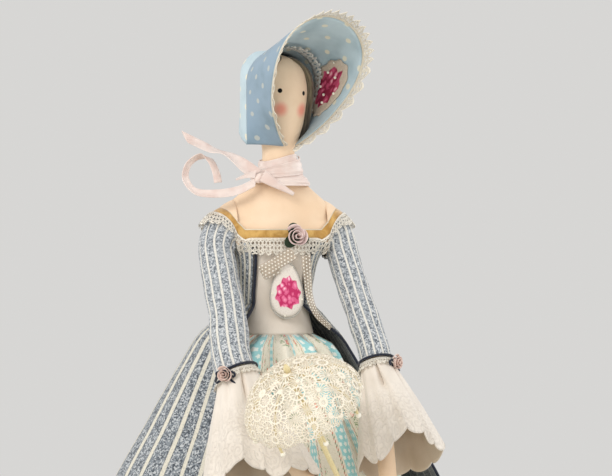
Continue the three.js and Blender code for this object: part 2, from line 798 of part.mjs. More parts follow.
function buildArm(side, name, places, sleeveSize) {
  const armGroup = new THREE.Group();
  armGroup.position.set(side * pivotX, 0, shoulderPivotHeight);
  armGroup.rotation.x = -armSwing;
  group.add(armGroup);
  const turns = [0, 1, 2, 3, 4].map((i) => (i * Math.PI) / 8);
  const shoulder = turns.map((turn) => shoulderSection(side, sleeveSize.radius, turn));
  const start = shoulder[shoulder.length - 1].centre;
  const curve = armCurve(side, start, places);
  const sleeveRadiusAt = (t) => lerp(sleeveSize.radius, sleeveSize.end, t / elbowShare);
  const upper = sectionsAlong(curve, side, 0, elbowShare, 4, sleeveRadiusAt).slice(1);
  const sleeveSections = [...shoulder, ...upper];
  const sleeveRows = sleeveSections.length - 1;
  const sleeve = cloth(sectionSurface(sleeveSections), 12, sleeveRows, clothThickness, { closed: true });
  piece(armGroup, `sleeve_${name}`, sleeve, 'coat');

  const armInset = clothThickness / 2 + 2;
  const armShoulder = shoulder.map((section) => ({ ...section, radius: section.radius - armInset }));
  const armStepCount = 15;
  const bare = sectionsAlong(curve, side, 0, 1, armStepCount, (t) => profileAt(armTable, t, 1)).slice(1);
  for (const [i, section] of bare.entries()) {
    section.flat = profileAt(armTable, (i + 1) / armStepCount, 2);
  }
  const rings = [...armShoulder, ...bare].map((section) => ringOf(section, 10));
  const tip = curve.getPoint(1).addScaledVector(curve.getTangent(1), handHalfDepth * 0.5);
  const last = bare[bare.length - 1];
  rings.push(ringOf({ ...last, centre: tip, radius: last.radius * 0.6 }, 10));
  return { armGroup, sleeveEnd: upper[upper.length - 1], skin: stuffed(rings) };
}

// Arm radii: share of the curve, radius, flatness
const armTable = [
  [0, upperArmRadius, 1],
  [elbowShare, elbowRadius, 1],
  [0.6, elbowRadius - 0.9, 1],
  [wristShare, wristRadius, 1],
  [0.92, handHalfWidth, handHalfDepth / handHalfWidth],
  [1, handHalfWidth * 0.75, handHalfDepth / handHalfWidth],
];

// Places a section of the arm's own frame in the doll's frame.
function toDoll(side, section) {
  const pivot = vec(side * pivotX, 0, shoulderPivotHeight);
  const turned = (v) => v.clone().applyAxisAngle(X_AXIS, -armSwing);
  return {
    centre: turned(section.centre).add(pivot),
    side: turned(section.side),
    forward: turned(section.forward),
    radius: section.radius,
  };
}

// A flared cuff that hangs from the sleeve's end to its own hem, with folds and scallops.
function cuff(top, hemPlaces) {
  const down = top.forward.clone().cross(top.side).multiplyScalar(-1).normalize();
  const start = top.centre.clone().addScaledVector(down, 0.9);
  const hem = new THREE.CatmullRomCurve3(hemPlaces.map((place) => vec(...place)), true, 'centripetal');
  const middle = vec(0, 0, 0);
  for (const place of hemPlaces) middle.addScaledVector(vec(...place), 1 / hemPlaces.length);
  return (u, v) => {
    const angle = u * TURN;
    const point = start.clone()
      .addScaledVector(top.side, Math.cos(angle) * top.radius)
      .addScaledVector(top.forward, Math.sin(angle) * top.radius)
      .lerp(hem.getPoint(((u % 1) + 1) % 1), v);
    const away = point.clone().sub(start.clone().lerp(middle, v)).setZ(0).normalize();
    const bulge = 0.8 * Math.sin(v * Math.PI);
    const scallop = cuffScallopDepth * Math.abs(Math.sin((cuffScallops * angle) / 2)) * smooth(v, 0.7, 1);
    return point
      .addScaledVector(away, bulge + cuffFoldDepth * v * Math.sin(cuffFolds * angle + 0.8))
      .add(vec(0, 0, -scallop));
  };
}

// A closed ring of cord round a sleeve's end.
function cordRing(section, radius) {
  const centreRadius = section.radius + clothThickness / 2 + 0.4 + radius;
  const points = ring(section.centre, section.side, centreRadius, section.forward, centreRadius, 20);
  const sides = 5;
  const axis = section.side.clone().cross(section.forward).normalize();
  const positions = [];
  for (const point of points) {
    const outward = point.clone().sub(section.centre).normalize();
    positions.push(ring(point, outward, radius, axis, radius, sides));
  }
  return loopSolid(positions);
}

// Rings of points joined in a closed loop.
function loopSolid(rings) {
  const count = rings[0].length;
  const triangles = [];
  for (let j = 0; j < rings.length; j += 1) {
    for (let i = 0; i < count; i += 1) {
      const [here, there] = [j * count, ((j + 1) % rings.length) * count];
      const next = (i + 1) % count;
      triangles.push([here + i, here + next, there + next], [here + i, there + next, there + i]);
    }
  }
  return closedGeometry(rings.flat(), triangles);
}

// A short gathered lace under the cord, outside the cuff's top.
function cuffLace(top, cuffAt) {
  const stand = (cuffThickness + laceThickness) / 2 + 2 * clothGap;
  const along = top.forward.clone().cross(top.side).normalize();
  return (u, v) => {
    const drop = cuffCordRadius + 1.6 + v * cuffLaceWidth;
    const point = cuffAt(u, drop / cuffAt(u, 0).distanceTo(cuffAt(u, 1)));
    const outward = point.clone().sub(top.centre).projectOnPlane(along).normalize();
    return point.addScaledVector(outward, stand + v * (1 + 0.5 * Math.cos(9 * u * TURN)));
  };
}

// A ribbon rolled into a rose, open towards a direction.
function rose(centre, facing, radius) {
  const turns = 2.5;
  const core = radius * 0.2;
  const side = vec(0, 0, 1).cross(facing).normalize();
  const up = facing.clone().cross(side);
  const at = (u, v) => {
    const angle = u * turns * TURN;
    const reach = lerp(core, radius, u) + v * radius * 0.06;
    const height = v * radius * lerp(0.8, 0.5, u);
    return centre.clone()
      .addScaledVector(side, Math.cos(angle) * reach)
      .addScaledVector(up, Math.sin(angle) * reach)
      .addScaledVector(facing, height);
  };
  return cloth(at, 30, 1, radius * 0.11);
}

// Three leaves in one flat piece behind the rose.
function roseLeaves(centre) {
  const leaves = 3;
  const columns = 24;
  const at = (u, v) => {
    const angle = u * TURN;
    const lobe = Math.abs(Math.cos((leaves * angle) / 2 + 0.4)) ** 1.5;
    const reach = roseRadius * lerp(0.15, 0.65 + 0.75 * lobe, v);
    return centre.clone().add(vec(Math.cos(angle) * reach, 0, Math.sin(angle) * reach));
  };
  return cloth(at, columns, 1, laceThickness * 0.75, { closed: true });
}

// A strip over a sleeve's head from front to back. Its two edges are given in degrees: how far down
// the armhole they end, and how far out they lie at the shoulder's top.
function shoulderStrip(side, sleeveRadius, upper, lower, stand, scallops, thickness) {
  const at = (u, v) => {
    const across = 2 * u - 1;
    const drop = v * (1 + (scallops ? 0.15 * Math.abs(Math.sin(u * scallops * Math.PI)) : 0));
    const end = THREE.MathUtils.degToRad(lerp(upper[0], lower[0], drop));
    const turn = THREE.MathUtils.degToRad(lerp(upper[1], lower[1], drop)) * (1 - across * across);
    const section = shoulderSection(side, sleeveRadius, turn);
    const angle = across * end + armSwing;
    const reach = section.radius + stand + (scallops ? v : 0);
    section.centre
      .addScaledVector(section.side, Math.cos(angle) * reach)
      .addScaledVector(vec(0, -1, 0), Math.sin(angle) * reach);
    return toDoll(side, section).centre;
  };
  return cloth(at, scallops ? scallops * 3 : 12, 2, thickness);
}

// Legs hang from the seat inside the petticoat; each turns in a ball at its top.
function leg(side) {
  const x = (side * legSpacing) / 2;
  const ball = seatHeight - hipPivotHeight - shoulderGap;
  const upper = Array.from({ length: 4 }, (_, i) => {
    const angle = ((i + 0.5) / 4) * (Math.PI / 2);
    return [hipPivotHeight + ball * Math.cos(angle), ball * Math.sin(angle)];
  });
  const lower = [
    [hipPivotHeight - 22, thighRadius],
    [(hipPivotHeight + kneeHeight) / 2, (thighRadius + kneeRadius) / 2 + 0.6],
    [kneeHeight, kneeRadius],
    [(kneeHeight + ankleHeight) / 2, kneeRadius],
    [ankleHeight + 14, ankleRadius],
  ];
  const rings = [...upper, ...lower].map(([height, radius]) =>
    ring(vec(x, 0, height), X_AXIS, radius, vec(0, -1, 0), radius, 10));
  const heel = vec(x, -2, ankleHeight - 4);
  rings.push(ring(heel, X_AXIS, ankleRadius, vec(0, -0.8, 0.6), ankleRadius * 1.25, 10));
  const foot = [
    [-12, 8.2, 6.8],
    [-20, 7.6, 6.8],
    [-footLength + 6, 7, 6],
    [-footLength, 6.2, 3],
  ];
  for (const [y, height, radius] of foot) {
    rings.push(ring(vec(x, y, height), X_AXIS, radius, Z_AXIS, radius * 0.95, 10));
  }
  return stuffed(rings);
}

// Parasol, drawn in its own frame: the axis is +Z and the canopy's rim lies at z = 0.
const parasol = new THREE.Group();
parasol.position.copy(canopyCentre);
parasol.quaternion.setFromUnitVectors(Z_AXIS, parasolAxis);
group.add(parasol);

function canopyPoint(angle, share) {
  const bend = share * (Math.PI / 2);
  const gore = 1 - 0.035 * Math.sin(bend) * (1 - Math.cos(ribCount * angle)) * 0.5;
  const reach = canopyRadius * Math.sin(bend) * gore;
  return vec(Math.cos(angle) * reach, Math.sin(angle) * reach, canopyDepth * Math.cos(bend));
}

function canopy() {
  const innerShare = Math.asin((stickRadius + gripGap) / canopyRadius) / (Math.PI / 2);
  const at = (u, v) => {
    const angle = u * TURN;
    const scallop = 1 + (canopyScallopDepth / 60) * Math.abs(Math.sin((canopyScallops * angle) / 2)) * v;
    return canopyPoint(angle, lerp(innerShare, 0.97, v) * scallop);
  };
  return cloth(at, canopyScallops * 2, 4, canopyThickness, { closed: true });
}

function stick() {
  const bottom = -(handToRim + stickBelowHand);
  const top = canopyDepth + finialHeight;
  const outline = [
    [0, bottom - 3],
    [2.2, bottom - 2.4],
    [3, bottom],
    [2.4, bottom + 2],
    [stickRadius, bottom + 4],
    [stickRadius, canopyDepth - 1],
    [stickRadius, canopyDepth + 1],
    [2, canopyDepth + 2],
    [1.2, top - 1.5],
    [0, top],
  ].map(([radius, height]) => new THREE.Vector2(radius, height));
  return new THREE.LatheGeometry(outline, 8).rotateX(Math.PI / 2);
}

// A rib follows the inside of the canopy and ends in a bead beyond its edge.
function rib(number) {
  const angle = (number / ribCount) * TURN;
  const inset = canopyThickness / 2 + 0.85 + ribRadius;
  const steps = 6;
  const points = Array.from({ length: steps + 1 }, (_, i) => {
    const share = lerp(0.1, 1, i / steps);
    const point = canopyPoint(angle, share);
    const [level, down] = [Math.sin(share * 1.4), Math.cos(share * 1.4)];
    const inward = vec(-Math.cos(angle) * level, -Math.sin(angle) * level, -down);
    return point.addScaledVector(inward, inset);
  });
  const end = points[points.length - 1];
  points.push(end.clone().add(vec(0, 0, -ribOverhang)));
  const curve = new THREE.CatmullRomCurve3(points, false, 'centripetal');
  const body = toSolid(tube(curve, ribRadius, 7, 4));
  const bead = new THREE.SphereGeometry(ribBeadRadius, 6, 4).translate(end.x, end.y, end.z - ribOverhang);
  return fromSolid(body.add(toSolid(bead)));
}

// An egg-shaped outline, broad below.
function eggShape(halfWidth, halfHeight) {
  const shape = new THREE.Shape();
  const count = 20;
  for (let i = 0; i <= count; i += 1) {
    const angle = (i / count) * TURN;
    const width = halfWidth * (1 - 0.1 * Math.sin(angle));
    const place = [Math.cos(angle) * width, Math.sin(angle) * halfHeight];
    if (i === 0) shape.moveTo(...place);
    else if (i < count) shape.lineTo(...place);
  }
  shape.closePath();
  return shape;
}

// A plate on the bodice, standing upright with its face forwards.
function medallion() {
  const bevel = { bevelEnabled: true, bevelSize: 0.6, bevelThickness: 0.6, bevelSegments: 1 };
  const face = eggShape(medallionHalfWidth - 0.6, medallionHalfHeight - 0.6);
  const plate = new THREE.ExtrudeGeometry(face, { depth: medallionThickness, ...bevel });
  return plate.rotateX(Math.PI / 2);
}

// How far forward the medallion lies: on the bodice, or on lace or petticoat where it reaches them.
function medallionFront() {
  const onBodice = bustHalfDepth + 2 * clothGap + clothThickness + 0.8;
  const reachesLace = medallionHeight + medallionHalfHeight + 2 > necklineHeight - bandWidth - neckLaceWidth;
  const onLace = reachesLace ? chestHalfDepth + laceOffset + medallionThickness : 0;
  const low = medallionHeight - medallionHalfHeight - 2;
  const petticoatStand = skirtThickness + medallionThickness + pleatDepth;
  const onPetticoat = low < petticoatTop ? petticoatStand - petticoatPoint(0, low).y : 0;
  return Math.max(onBodice, onLace, onPetticoat);
}

function medallionRim() {
  const radius = 0.8;
  const outline = eggShape(medallionHalfWidth + radius + 0.3, medallionHalfHeight + radius + 0.3).getPoints();
  const rings = outline.slice(0, -1).map((point) => {
    const centre = vec(point.x, 0, point.y);
    return ring(centre, centre.clone().normalize(), radius, vec(0, 1, 0), radius, 5);
  });
  return loopSolid(rings);
}

// A ribbon of even width along a list of places, each with the direction of its width.
function ribbon(level, places, width, steps) {
  const points = places.map(([x, y, z]) => vec(x, y, level + z));
  const middle = new THREE.CatmullRomCurve3(points, false, 'centripetal');
  const across = new THREE.CatmullRomCurve3(places.map((place) => vec(...place.slice(3)).normalize()), false);
  const at = (u, v) => middle.getPoint(u).addScaledVector(across.getPoint(u).normalize(), (v - 0.5) * width);
  return cloth(at, steps, 1, ribbonThickness);
}

// Neck ribbon round the seam between torso and head.
function neckBand() {
  const low = neckJoinHeight - 9;
  const at = (u, v) => {
    const angle = u * TURN;
    const height = low + v * neckRibbonWidth + 2 * Math.sin(angle);
    const spread = profileAt(torsoProfile, Math.min(height, neckJoinHeight), 1) + 1.5;
    return vec(Math.sin(angle) * spread, -Math.cos(angle) * spread, height);
  };
  return cloth(at, 16, 2, ribbonThickness, { closed: true });
}

function ellipsoid(centre, x, y, z) {
  return new THREE.SphereGeometry(1, 10, 6).scale(x, y, z).translate(centre.x, centre.y, centre.z);
}

// Assembly
piece(group, 'torso', torso(), 'skin');
piece(group, 'leg_right', leg(-1), 'skin');
piece(group, 'leg_left', leg(1), 'skin');

const headGroup = new THREE.Group();
headGroup.rotation.z = headTurn;
group.add(headGroup);
piece(headGroup, 'head', head(), 'skin');
piece(headGroup, 'hair', hair(), 'hair');
piece(headGroup, 'bonnet_crown', bonnetCrown(), 'bonnet');
piece(headGroup, 'bonnet_brim', bonnetBrim(), 'bonnet');
piece(headGroup, 'bonnet_piping', bonnetPiping(), 'lace');
piece(headGroup, 'bonnet_lace', bonnetLace(), 'lace');
piece(headGroup, 'bonnet_frill', bonnetFrill(), 'lace');
piece(headGroup, 'bonnet_patch', bonnetPatch(), 'ivory');

piece(group, 'bodice', bodice(), 'bodice');
piece(group, 'coat_bodice', coatBodice(), 'coat');
piece(group, 'coat_skirt', coatSkirt(), 'coat');
piece(group, 'petticoat', petticoat(), 'petticoat');
piece(group, 'coat_piping_right', coatPiping(-1), 'navy');
piece(group, 'coat_piping_left', coatPiping(1), 'navy');
for (const [name, facing] of [['front', -1], ['back', 1]]) {
  piece(group, `neckline_band_${name}`, necklineBand(facing), 'velvet');
  piece(group, `neckline_lace_${name}`, necklineLace(facing), 'lace');
}

const grip = canopyCentre.clone().addScaledVector(parasolAxis, -handToRim);
const rightTip = grip.clone().addScaledVector(grip.clone().sub(rightWrist).normalize(), handLength * 0.4);
const arms = [
  [-1, 'right', [rightElbow, rightWrist, rightTip], rightSleeve, rightCuffHem, vec(-0.55, -0.8, 0)],
  [1, 'left', [leftElbow, leftWrist, leftHand], leftSleeve, leftCuffHem, vec(0.7, -0.7, 0)],
];
const bandEdges = [[54, 12], [86, 26]];
const laceEdges = [[83, 25], [113, 45]];
const stripStand = clothThickness + clothGap;
for (const [side, name, places, sleeveSize, hem, roseWay] of arms) {
  const { armGroup, sleeveEnd, skin } = buildArm(side, name, places, sleeveSize);
  let limb = skin;
  if (name === 'right') {
    const hole = new THREE.CylinderGeometry(stickRadius + gripGap, stickRadius + gripGap, 60, 12);
    hole.rotateX(Math.PI / 2);
    hole.applyQuaternion(parasol.quaternion).translate(grip.x, grip.y, grip.z);
    armGroup.updateWorldMatrix(true, false);
    hole.applyMatrix4(armGroup.matrixWorld.clone().invert());
    limb = cut(skin, hole);
  }
  piece(armGroup, `arm_${name}`, limb, 'skin');
  const top = toDoll(side, sleeveEnd);
  const cuffAt = cuff(top, hem);
  const cuffCloth = cloth(cuffAt, cuffScallops * 3, 4, cuffThickness, { closed: true });
  piece(group, `cuff_${name}`, cuffCloth, 'cuff');
  piece(group, `cuff_cord_${name}`, cordRing(top, cuffCordRadius), 'navy');
  const cuffLaceCloth = cloth(cuffLace(top, cuffAt), 27, 1, laceThickness, { closed: true });
  piece(group, `cuff_lace_${name}`, cuffLaceCloth, 'lace');
  const way = roseWay.clone().normalize();
  const roseCentre = top.centre.clone().addScaledVector(way, top.radius + 2 * cuffCordRadius + 4.9);
  piece(group, `cuff_rose_${name}`, rose(roseCentre, way, cuffRoseRadius), 'rose');
  const band = shoulderStrip(side, sleeveSize.radius, ...bandEdges, stripStand, 0, clothThickness);
  piece(group, `shoulder_band_${name}`, band, 'velvet');
  const laceStand = stripStand + clothThickness / 2 + laceThickness / 2 + 0.3;
  const lace = shoulderStrip(side, sleeveSize.radius, ...laceEdges, laceStand, 5, laceThickness);
  piece(group, `shoulder_lace_${name}`, lace, 'lace');
}

const roseFront = -(chestHalfDepth + laceOffset + 2.6);
const roseHeight = necklineHeight - 4;
piece(group, 'neckline_rose', rose(vec(8.4, roseFront - 0.6, roseHeight), vec(0, -1, 0), roseRadius), 'rose');
const medallionPlate = piece(group, 'medallion', medallion(), 'ivory');
medallionPlate.position.set(2, -medallionFront(), medallionHeight);
const rimPiece = piece(group, 'medallion_rim', medallionRim(), 'metal');
rimPiece.position.copy(medallionPlate.position).add(vec(0, -1, 0));

piece(group, 'rose_leaves', roseLeaves(vec(8.4, roseFront + 0.4, roseHeight)), 'leaf');
piece(group, 'organza_loop', ribbon(medallionHeight, [
  [6, -27.1, 21.9, 0, 0, 1],
  [-3, -27.3, 20.2, 0.1, 0, 1],
  [-11, -27.6, 17, 0.3, 0, 1],
  [-16.5, -26.9, 14, 0.3, 0.1, 1],
  [-14, -26, 11.5, 0.1, 0, 1],
  [-6, -25.9, 13, 0, 0, 1],
], organzaWidth * 0.7, 16), 'organza');
piece(group, 'organza_tail', ribbon(medallionHeight, [
  [13, -26.3, 23, 1, 0, 0.2],
  [14, -26.3, 9, 1, 0, 0],
  [15.5, -26, -4, 0.9, 0, 0.2],
  [20, -26.4, -15, 0.8, 0, 0.6],
  [29, -27.3, -24, 0.6, 0, 0.8],
], organzaWidth * 0.6, 10), 'organza');

piece(group, 'neck_ribbon_band', neckBand(), 'ribbon');
piece(group, 'neck_ribbon_knot', ellipsoid(vec(-15, -16.2, neckJoinHeight - 8.5), 4.4, 3.4, 4), 'ribbon');
piece(group, 'neck_ribbon_tail', ribbon(neckJoinHeight, [
  [-17.9, -15.8, -5, 0.6, 0.2, 0.7],
  [-24, -14, 1, 0.5, 0.3, 0.8],
  [-33, -13, 6, 0.1, 0.5, 0.9],
  [-41, -12, 8, 0, 0.6, 0.8],
  [-52, -11, 12, -0.2, 0.7, 0.7],
  [-62, -10, 16, -0.3, 0.8, 0.5],
], 9, 14), 'ribbon');
piece(group, 'neck_ribbon_loop', ribbon(neckJoinHeight, [
  [-20.4, -17.8, -12.2, 0.2, 0.2, 0.9],
  [-29, -19, -13, 0, 0.3, 0.9],
  [-42, -19, -15.5, 0.2, 0.6, 0.8],
  [-53, -16, -17.5, 0.1, 0.8, 0.6],
  [-60.5, -11, -12, -0.6, 0.7, 0.3],
  [-59.5, -5, -3, -0.5, 0.8, -0.2],
  [-51, -2, 3, 0.1, 0.8, -0.5],
  [-43, -3, -4, 0.6, 0.7, 0],
], 8, 20), 'ribbon');
piece(group, 'neck_ribbon_front', ribbon(neckJoinHeight, [
  [-10.8, -19.2, -10.4, 0.9, 0, 0.4],
  [-5, -21, -17, 0.9, 0, 0.5],
  [2, -22, -19.5, 0.3, 0, 1],
  [9, -21.5, -20, 0.1, 0, 1],
], 8, 10), 'ribbon');

piece(parasol, 'parasol_stick', stick(), 'wood');
piece(parasol, 'parasol_canopy', canopy(), 'parasol');
for (let number = 0; number < ribCount; number += 1) {
  piece(parasol, `parasol_rib_${number + 1}`, rib(number), 'wood');
}

export default group;
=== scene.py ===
from math import asin, copysign, cos, degrees, exp, floor, pi, radians, sin, sqrt, tau

import bmesh
import bpy
from mathutils import Matrix, Vector, noise


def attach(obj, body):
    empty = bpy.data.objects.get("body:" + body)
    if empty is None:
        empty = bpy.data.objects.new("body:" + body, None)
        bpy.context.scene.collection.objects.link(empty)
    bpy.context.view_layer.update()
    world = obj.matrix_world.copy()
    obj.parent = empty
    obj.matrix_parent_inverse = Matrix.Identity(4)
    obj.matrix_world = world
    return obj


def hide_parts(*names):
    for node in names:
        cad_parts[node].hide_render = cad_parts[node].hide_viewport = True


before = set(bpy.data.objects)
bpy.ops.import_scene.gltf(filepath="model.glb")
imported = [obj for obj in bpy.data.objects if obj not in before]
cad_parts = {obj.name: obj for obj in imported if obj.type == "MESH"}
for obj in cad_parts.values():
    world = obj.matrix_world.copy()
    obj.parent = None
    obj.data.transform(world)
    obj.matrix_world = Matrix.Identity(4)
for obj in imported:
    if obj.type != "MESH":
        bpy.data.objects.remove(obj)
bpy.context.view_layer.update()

MM = 0.001
X_AXIS = Vector((1, 0, 0))
Z_AXIS = Vector((0, 0, 1))


def vec(x, y, z):
    return Vector((x, y, z))


def lerp(a, b, t):
    return a + (b - a) * t


def clamp(value, low=0.0, high=1.0):
    return min(max(value, low), high)


def smooth(value, low, high):
    t = clamp((value - low) / (high - low))
    return t * t * (3 - 2 * t)


def profile(table, height, column):
    """A smooth curve through the rows of a table of heights and sizes."""
    last = len(table) - 1
    if height <= table[0][0]:
        return table[0][column]
    if height >= table[last][0]:
        return table[last][column]
    i = next(n for n in range(last) if height <= table[n + 1][0])

    def slope(n):
        below, above = table[max(n - 1, 0)], table[min(n + 1, last)]
        return (above[column] - below[column]) / (above[0] - below[0])

    span = table[i + 1][0] - table[i][0]
    t = (height - table[i][0]) / span
    start, end = table[i][column], table[i + 1][column]
    leave, arrive = slope(i) * span, slope(i + 1) * span
    t2, t3 = t * t, t * t * t
    return ((2 * t3 - 3 * t2 + 1) * start + (t3 - 2 * t2 + t) * leave
            + (3 * t2 - 2 * t3) * end + (t3 - t2) * arrive)


class Spline:
    """A centripetal curve through points."""

    def __init__(self, points, closed=False):
        self.points = [Vector(p) for p in points]
        self.closed = closed

    def at(self, t):
        points = self.points
        count = len(points)
        if self.closed:
            place = (t % 1) * count
            i = int(floor(place)) % count
            weight = place - floor(place)
            near = [points[(i + k) % count] for k in (-1, 0, 1, 2)]
        else:
            place = clamp(t) * (count - 1)
            i = min(int(floor(place)), count - 2)
            weight = place - i
            before = points[i - 1] if i > 0 else points[0] * 2 - points[1]
            after = points[i + 2] if i + 2 < count else points[-1] * 2 - points[-2]
            near = [before, points[i], points[i + 1], after]
        p0, p1, p2, p3 = near
        d0, d1, d2 = [(b - a).length_squared ** 0.25 for a, b in ((p0, p1), (p1, p2), (p2, p3))]
        d1 = d1 if d1 > 1e-4 else 1.0
        d0 = d0 if d0 > 1e-4 else d1
        d2 = d2 if d2 > 1e-4 else d1
        m1 = ((p1 - p0) / d0 - (p2 - p0) / (d0 + d1) + (p2 - p1) / d1) * d1
        m2 = ((p2 - p1) / d1 - (p3 - p1) / (d1 + d2) + (p3 - p2) / d2) * d1
        w = weight
        return (p1 + m1 * w + (-3 * p1 + 3 * p2 - 2 * m1 - m2) * w * w
                + (2 * p1 - 2 * p2 + m1 + m2) * w * w * w)

    def tangent(self, t):
        step = 1e-4
        return (self.at(min(t + step, 1)) - self.at(max(t - step, 0))).normalized()


def path_length(points):
    return sum((b - a).length for a, b in zip(points, points[1:]))


def ring_of(centre, side, other, radius, count):
    """Places round a circle that two directions span."""
    turns = [k / count * tau for k in range(count)]
    return [centre + side * cos(t) * radius + other * sin(t) * radius for t in turns]


# Meshes

def link(name, data):
    obj = bpy.data.objects.new(name, data)
    bpy.context.scene.collection.objects.link(obj)
    return obj


def build_mesh(name, verts, faces, uvs):
    mesh = bpy.data.meshes.new(name)
    mesh.from_pydata([v * MM for v in verts], [], faces)
    mesh.update()
    layer = mesh.uv_layers.new(name="UVMap")
    for polygon, corners in zip(mesh.polygons, uvs):
        for loop, corner in zip(polygon.loop_indices, corners):
            layer.data[loop].uv = corner
    mesh.polygons.foreach_set("use_smooth", [True] * len(mesh.polygons))
    return link(name, mesh)


def surface(name, at, columns, rows, closed=False, uv=None, caps=False):
    """A grid of faces over at(u, v), with its own u and v, or those of uv(u, v), as its texture map."""
    uv = uv or (lambda u, v: (u, v))
    across = columns if closed else columns + 1
    verts = [at(i / columns, j / rows) for j in range(rows + 1) for i in range(across)]
    faces, maps = [], []
    for j in range(rows):
        for i in range(columns):
            k = (i + 1) % across if closed else i + 1
            faces.append((j * across + i, j * across + k, (j + 1) * across + k, (j + 1) * across + i))
            corners = ((i, j), (i + 1, j), (i + 1, j + 1), (i, j + 1))
            maps.append([uv(a / columns, b / rows) for a, b in corners])
    if caps:
        for row, v in ((0, 0.0), (rows, 1.0)):
            centre = len(verts)
            ring = [verts[row * across + i] for i in range(across)]
            verts.append(sum(ring, Vector()) / across)
            for i in range(columns):
                k = (i + 1) % across
                a, b = row * across + i, row * across + k
                faces.append((centre, b, a) if row == 0 else (centre, a, b))
                maps.append([uv(i / columns, v)] * 3)
    return build_mesh(name, verts, faces, maps)


def outward(obj):
    bm = bmesh.new()
    bm.from_mesh(obj.data)
    bmesh.ops.recalc_face_normals(bm, faces=bm.faces)
    bm.to_mesh(obj.data)
    bm.free()
    return obj


def thicken(obj, thickness, inner_side=False, turn=False, even=True):
    """Gives a cloth its thickness; a second material paints its inner side, which is the petticoat's plain
    reverse and painted shade inside the bonnet, coat, sleeves and cuffs, and turn swaps the two sides.
    """
    if turn:
        obj.data.flip_normals()
    solid = obj.modifiers.new("Thickness", "SOLIDIFY")
    solid.thickness = thickness * MM
    solid.offset = 0
    solid.use_even_offset = even
    if inner_side:
        solid.material_offset = 1
    return obj


def paint(obj, *materials):
    for material in materials:
        obj.data.materials.append(material)
    return obj


def place(obj, body, slot_name, *nodes):
    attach(obj, body)
    if nodes:
        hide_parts(*nodes)
    return obj


SHEET_LEAST_SIDE = 0.0102


def declare_sheet(obj, rests_on, columns, rows, closed=False):
    """Works out a cloth's size from its own rows and columns of points, and returns the cloth unchanged."""
    across = columns if closed else columns + 1
    verts = [v.co for v in obj.data.vertices]
    lines = [verts[j * across:(j + 1) * across] for j in range(rows + 1)]
    width = max(path_length(line + line[:1] if closed else line) for line in lines)
    length = max(path_length([line[i] for line in lines]) for i in range(across))
    area = sum(p.area for p in obj.data.polygons)
    width, length = max(width, SHEET_LEAST_SIDE), max(length, SHEET_LEAST_SIDE)
    area = clamp(area, 0.3 * width * length, width * length)
    return obj


def tube(name, points, radius, sides, steps, closed=False):
    """A round tube along a smooth curve through points, closed at both ends."""
    curve = Spline(points, closed)
    rings = []
    side = None
    for j in range(steps if closed else steps + 1):
        t = j / steps
        tangent = (curve.at(t + 1e-4) - curve.at(t - 1e-4)).normalized() if closed else curve.tangent(t)
        if side is None:
            side = tangent.orthogonal().normalized()
        side = (side - tangent * side.dot(tangent)).normalized()
        rings.append(ring_of(curve.at(t), side, tangent.cross(side), radius, sides))
    faces, maps = [], []
    count = len(rings)
    for j in range(count if closed else count - 1):
        for k in range(sides):
            n = (k + 1) % sides
            jj = (j + 1) % count
            faces.append((j * sides + k, j * sides + n, jj * sides + n, jj * sides + k))
            left, right, low, high = k / sides, (k + 1) / sides, j / steps, (j + 1) / steps
            maps.append([(left, low), (right, low), (right, high), (left, high)])
    if not closed:
        for ring in (0, count - 1):
            face = [ring * sides + k for k in range(sides)]
            faces.append(tuple(reversed(face)) if ring == 0 else tuple(face))
            maps.append([(0, ring / count)] * sides)
    return outward(build_mesh(name, [p for ring in rings for p in ring], faces, maps))


def join(name, objects):
    """One mesh of several, without changing their shapes."""
    bm = bmesh.new()
    materials = []
    for obj in objects:
        offset = len(bm.faces)
        part = obj.data.copy()
        part.transform(obj.matrix_world)
        bm.from_mesh(part)
        bm.faces.ensure_lookup_table()
        for m in obj.data.materials:
            if m not in materials:
                materials.append(m)
        if obj.data.materials:
            index = materials.index(obj.data.materials[0])
            for face in bm.faces[offset:]:
                face.material_index = index
        bpy.data.meshes.remove(part)
    mesh = bpy.data.meshes.new(name)
    bm.to_mesh(mesh)
    bm.free()
    for m in materials:
        mesh.materials.append(m)
    for obj in objects:
        bpy.data.objects.remove(obj)
    return link(name, mesh)


def bead(centre, radius):
    bm = bmesh.new()
    bmesh.ops.create_uvsphere(bm, u_segments=10, v_segments=7, radius=radius * MM)
    mesh = bpy.data.meshes.new("bead")
    bm.to_mesh(mesh)
    bm.free()
    mesh.polygons.foreach_set("use_smooth", [True] * len(mesh.polygons))
    mesh.transform(Matrix.Translation(centre * MM))
    return link("bead", mesh)


def sew(name, at, grid, thickness, materials, body, slot_name, *nodes,
        closed=False, uv=None, cut=None, **sides):
    """A thickened cloth on its body; a second material paints its inner side (painted shade on most pieces,
    the plain reverse on the petticoat), and cut trims it first.
    """
    obj = surface(name, at, *grid, closed=closed, uv=uv)
    if cut:
        cut(obj)
    paint(thicken(obj, thickness, inner_side=len(materials) > 1, **sides), *materials)
    return place(obj, body, slot_name, *nodes)


def sew_cord(name, points, radius, sides, steps, material, body, slot_name, *nodes, closed=False):
    obj = tube(name, points, radius, sides, steps, closed)
    return place(paint(obj, material), body, slot_name, *nodes)


def sew_beads(name, places, material, slot_name, *nodes):
    """One piece of many beads, each at its place and of its radius."""
    obj = join(name, [bead(centre, radius) for centre, radius in places])
    return place(paint(obj, material), "doll", slot_name, *nodes)


def stuff(name, at, grid, material, body, node):
    """A closed skin full of wadding."""
    obj = surface(name, at, *grid, closed=True, caps=True)
    place(paint(outward(obj), material), body, "body_cloth", node)
    return obj


# Materials

def srgb(r, g, b):
    def linear(c):
        c = c / 255
        return c / 12.92 if c <= 0.04045 else ((c + 0.055) / 1.055) ** 2.4
    return (linear(r), linear(g), linear(b), 1.0)


def shaded(colour, factor):
    return tuple(c * factor for c in colour[:3]) + (1.0,)


def shader_math(operation):
    """A method that takes a value and others through one operation."""
    return lambda self, *others: self.graph.math(operation, self, *others)


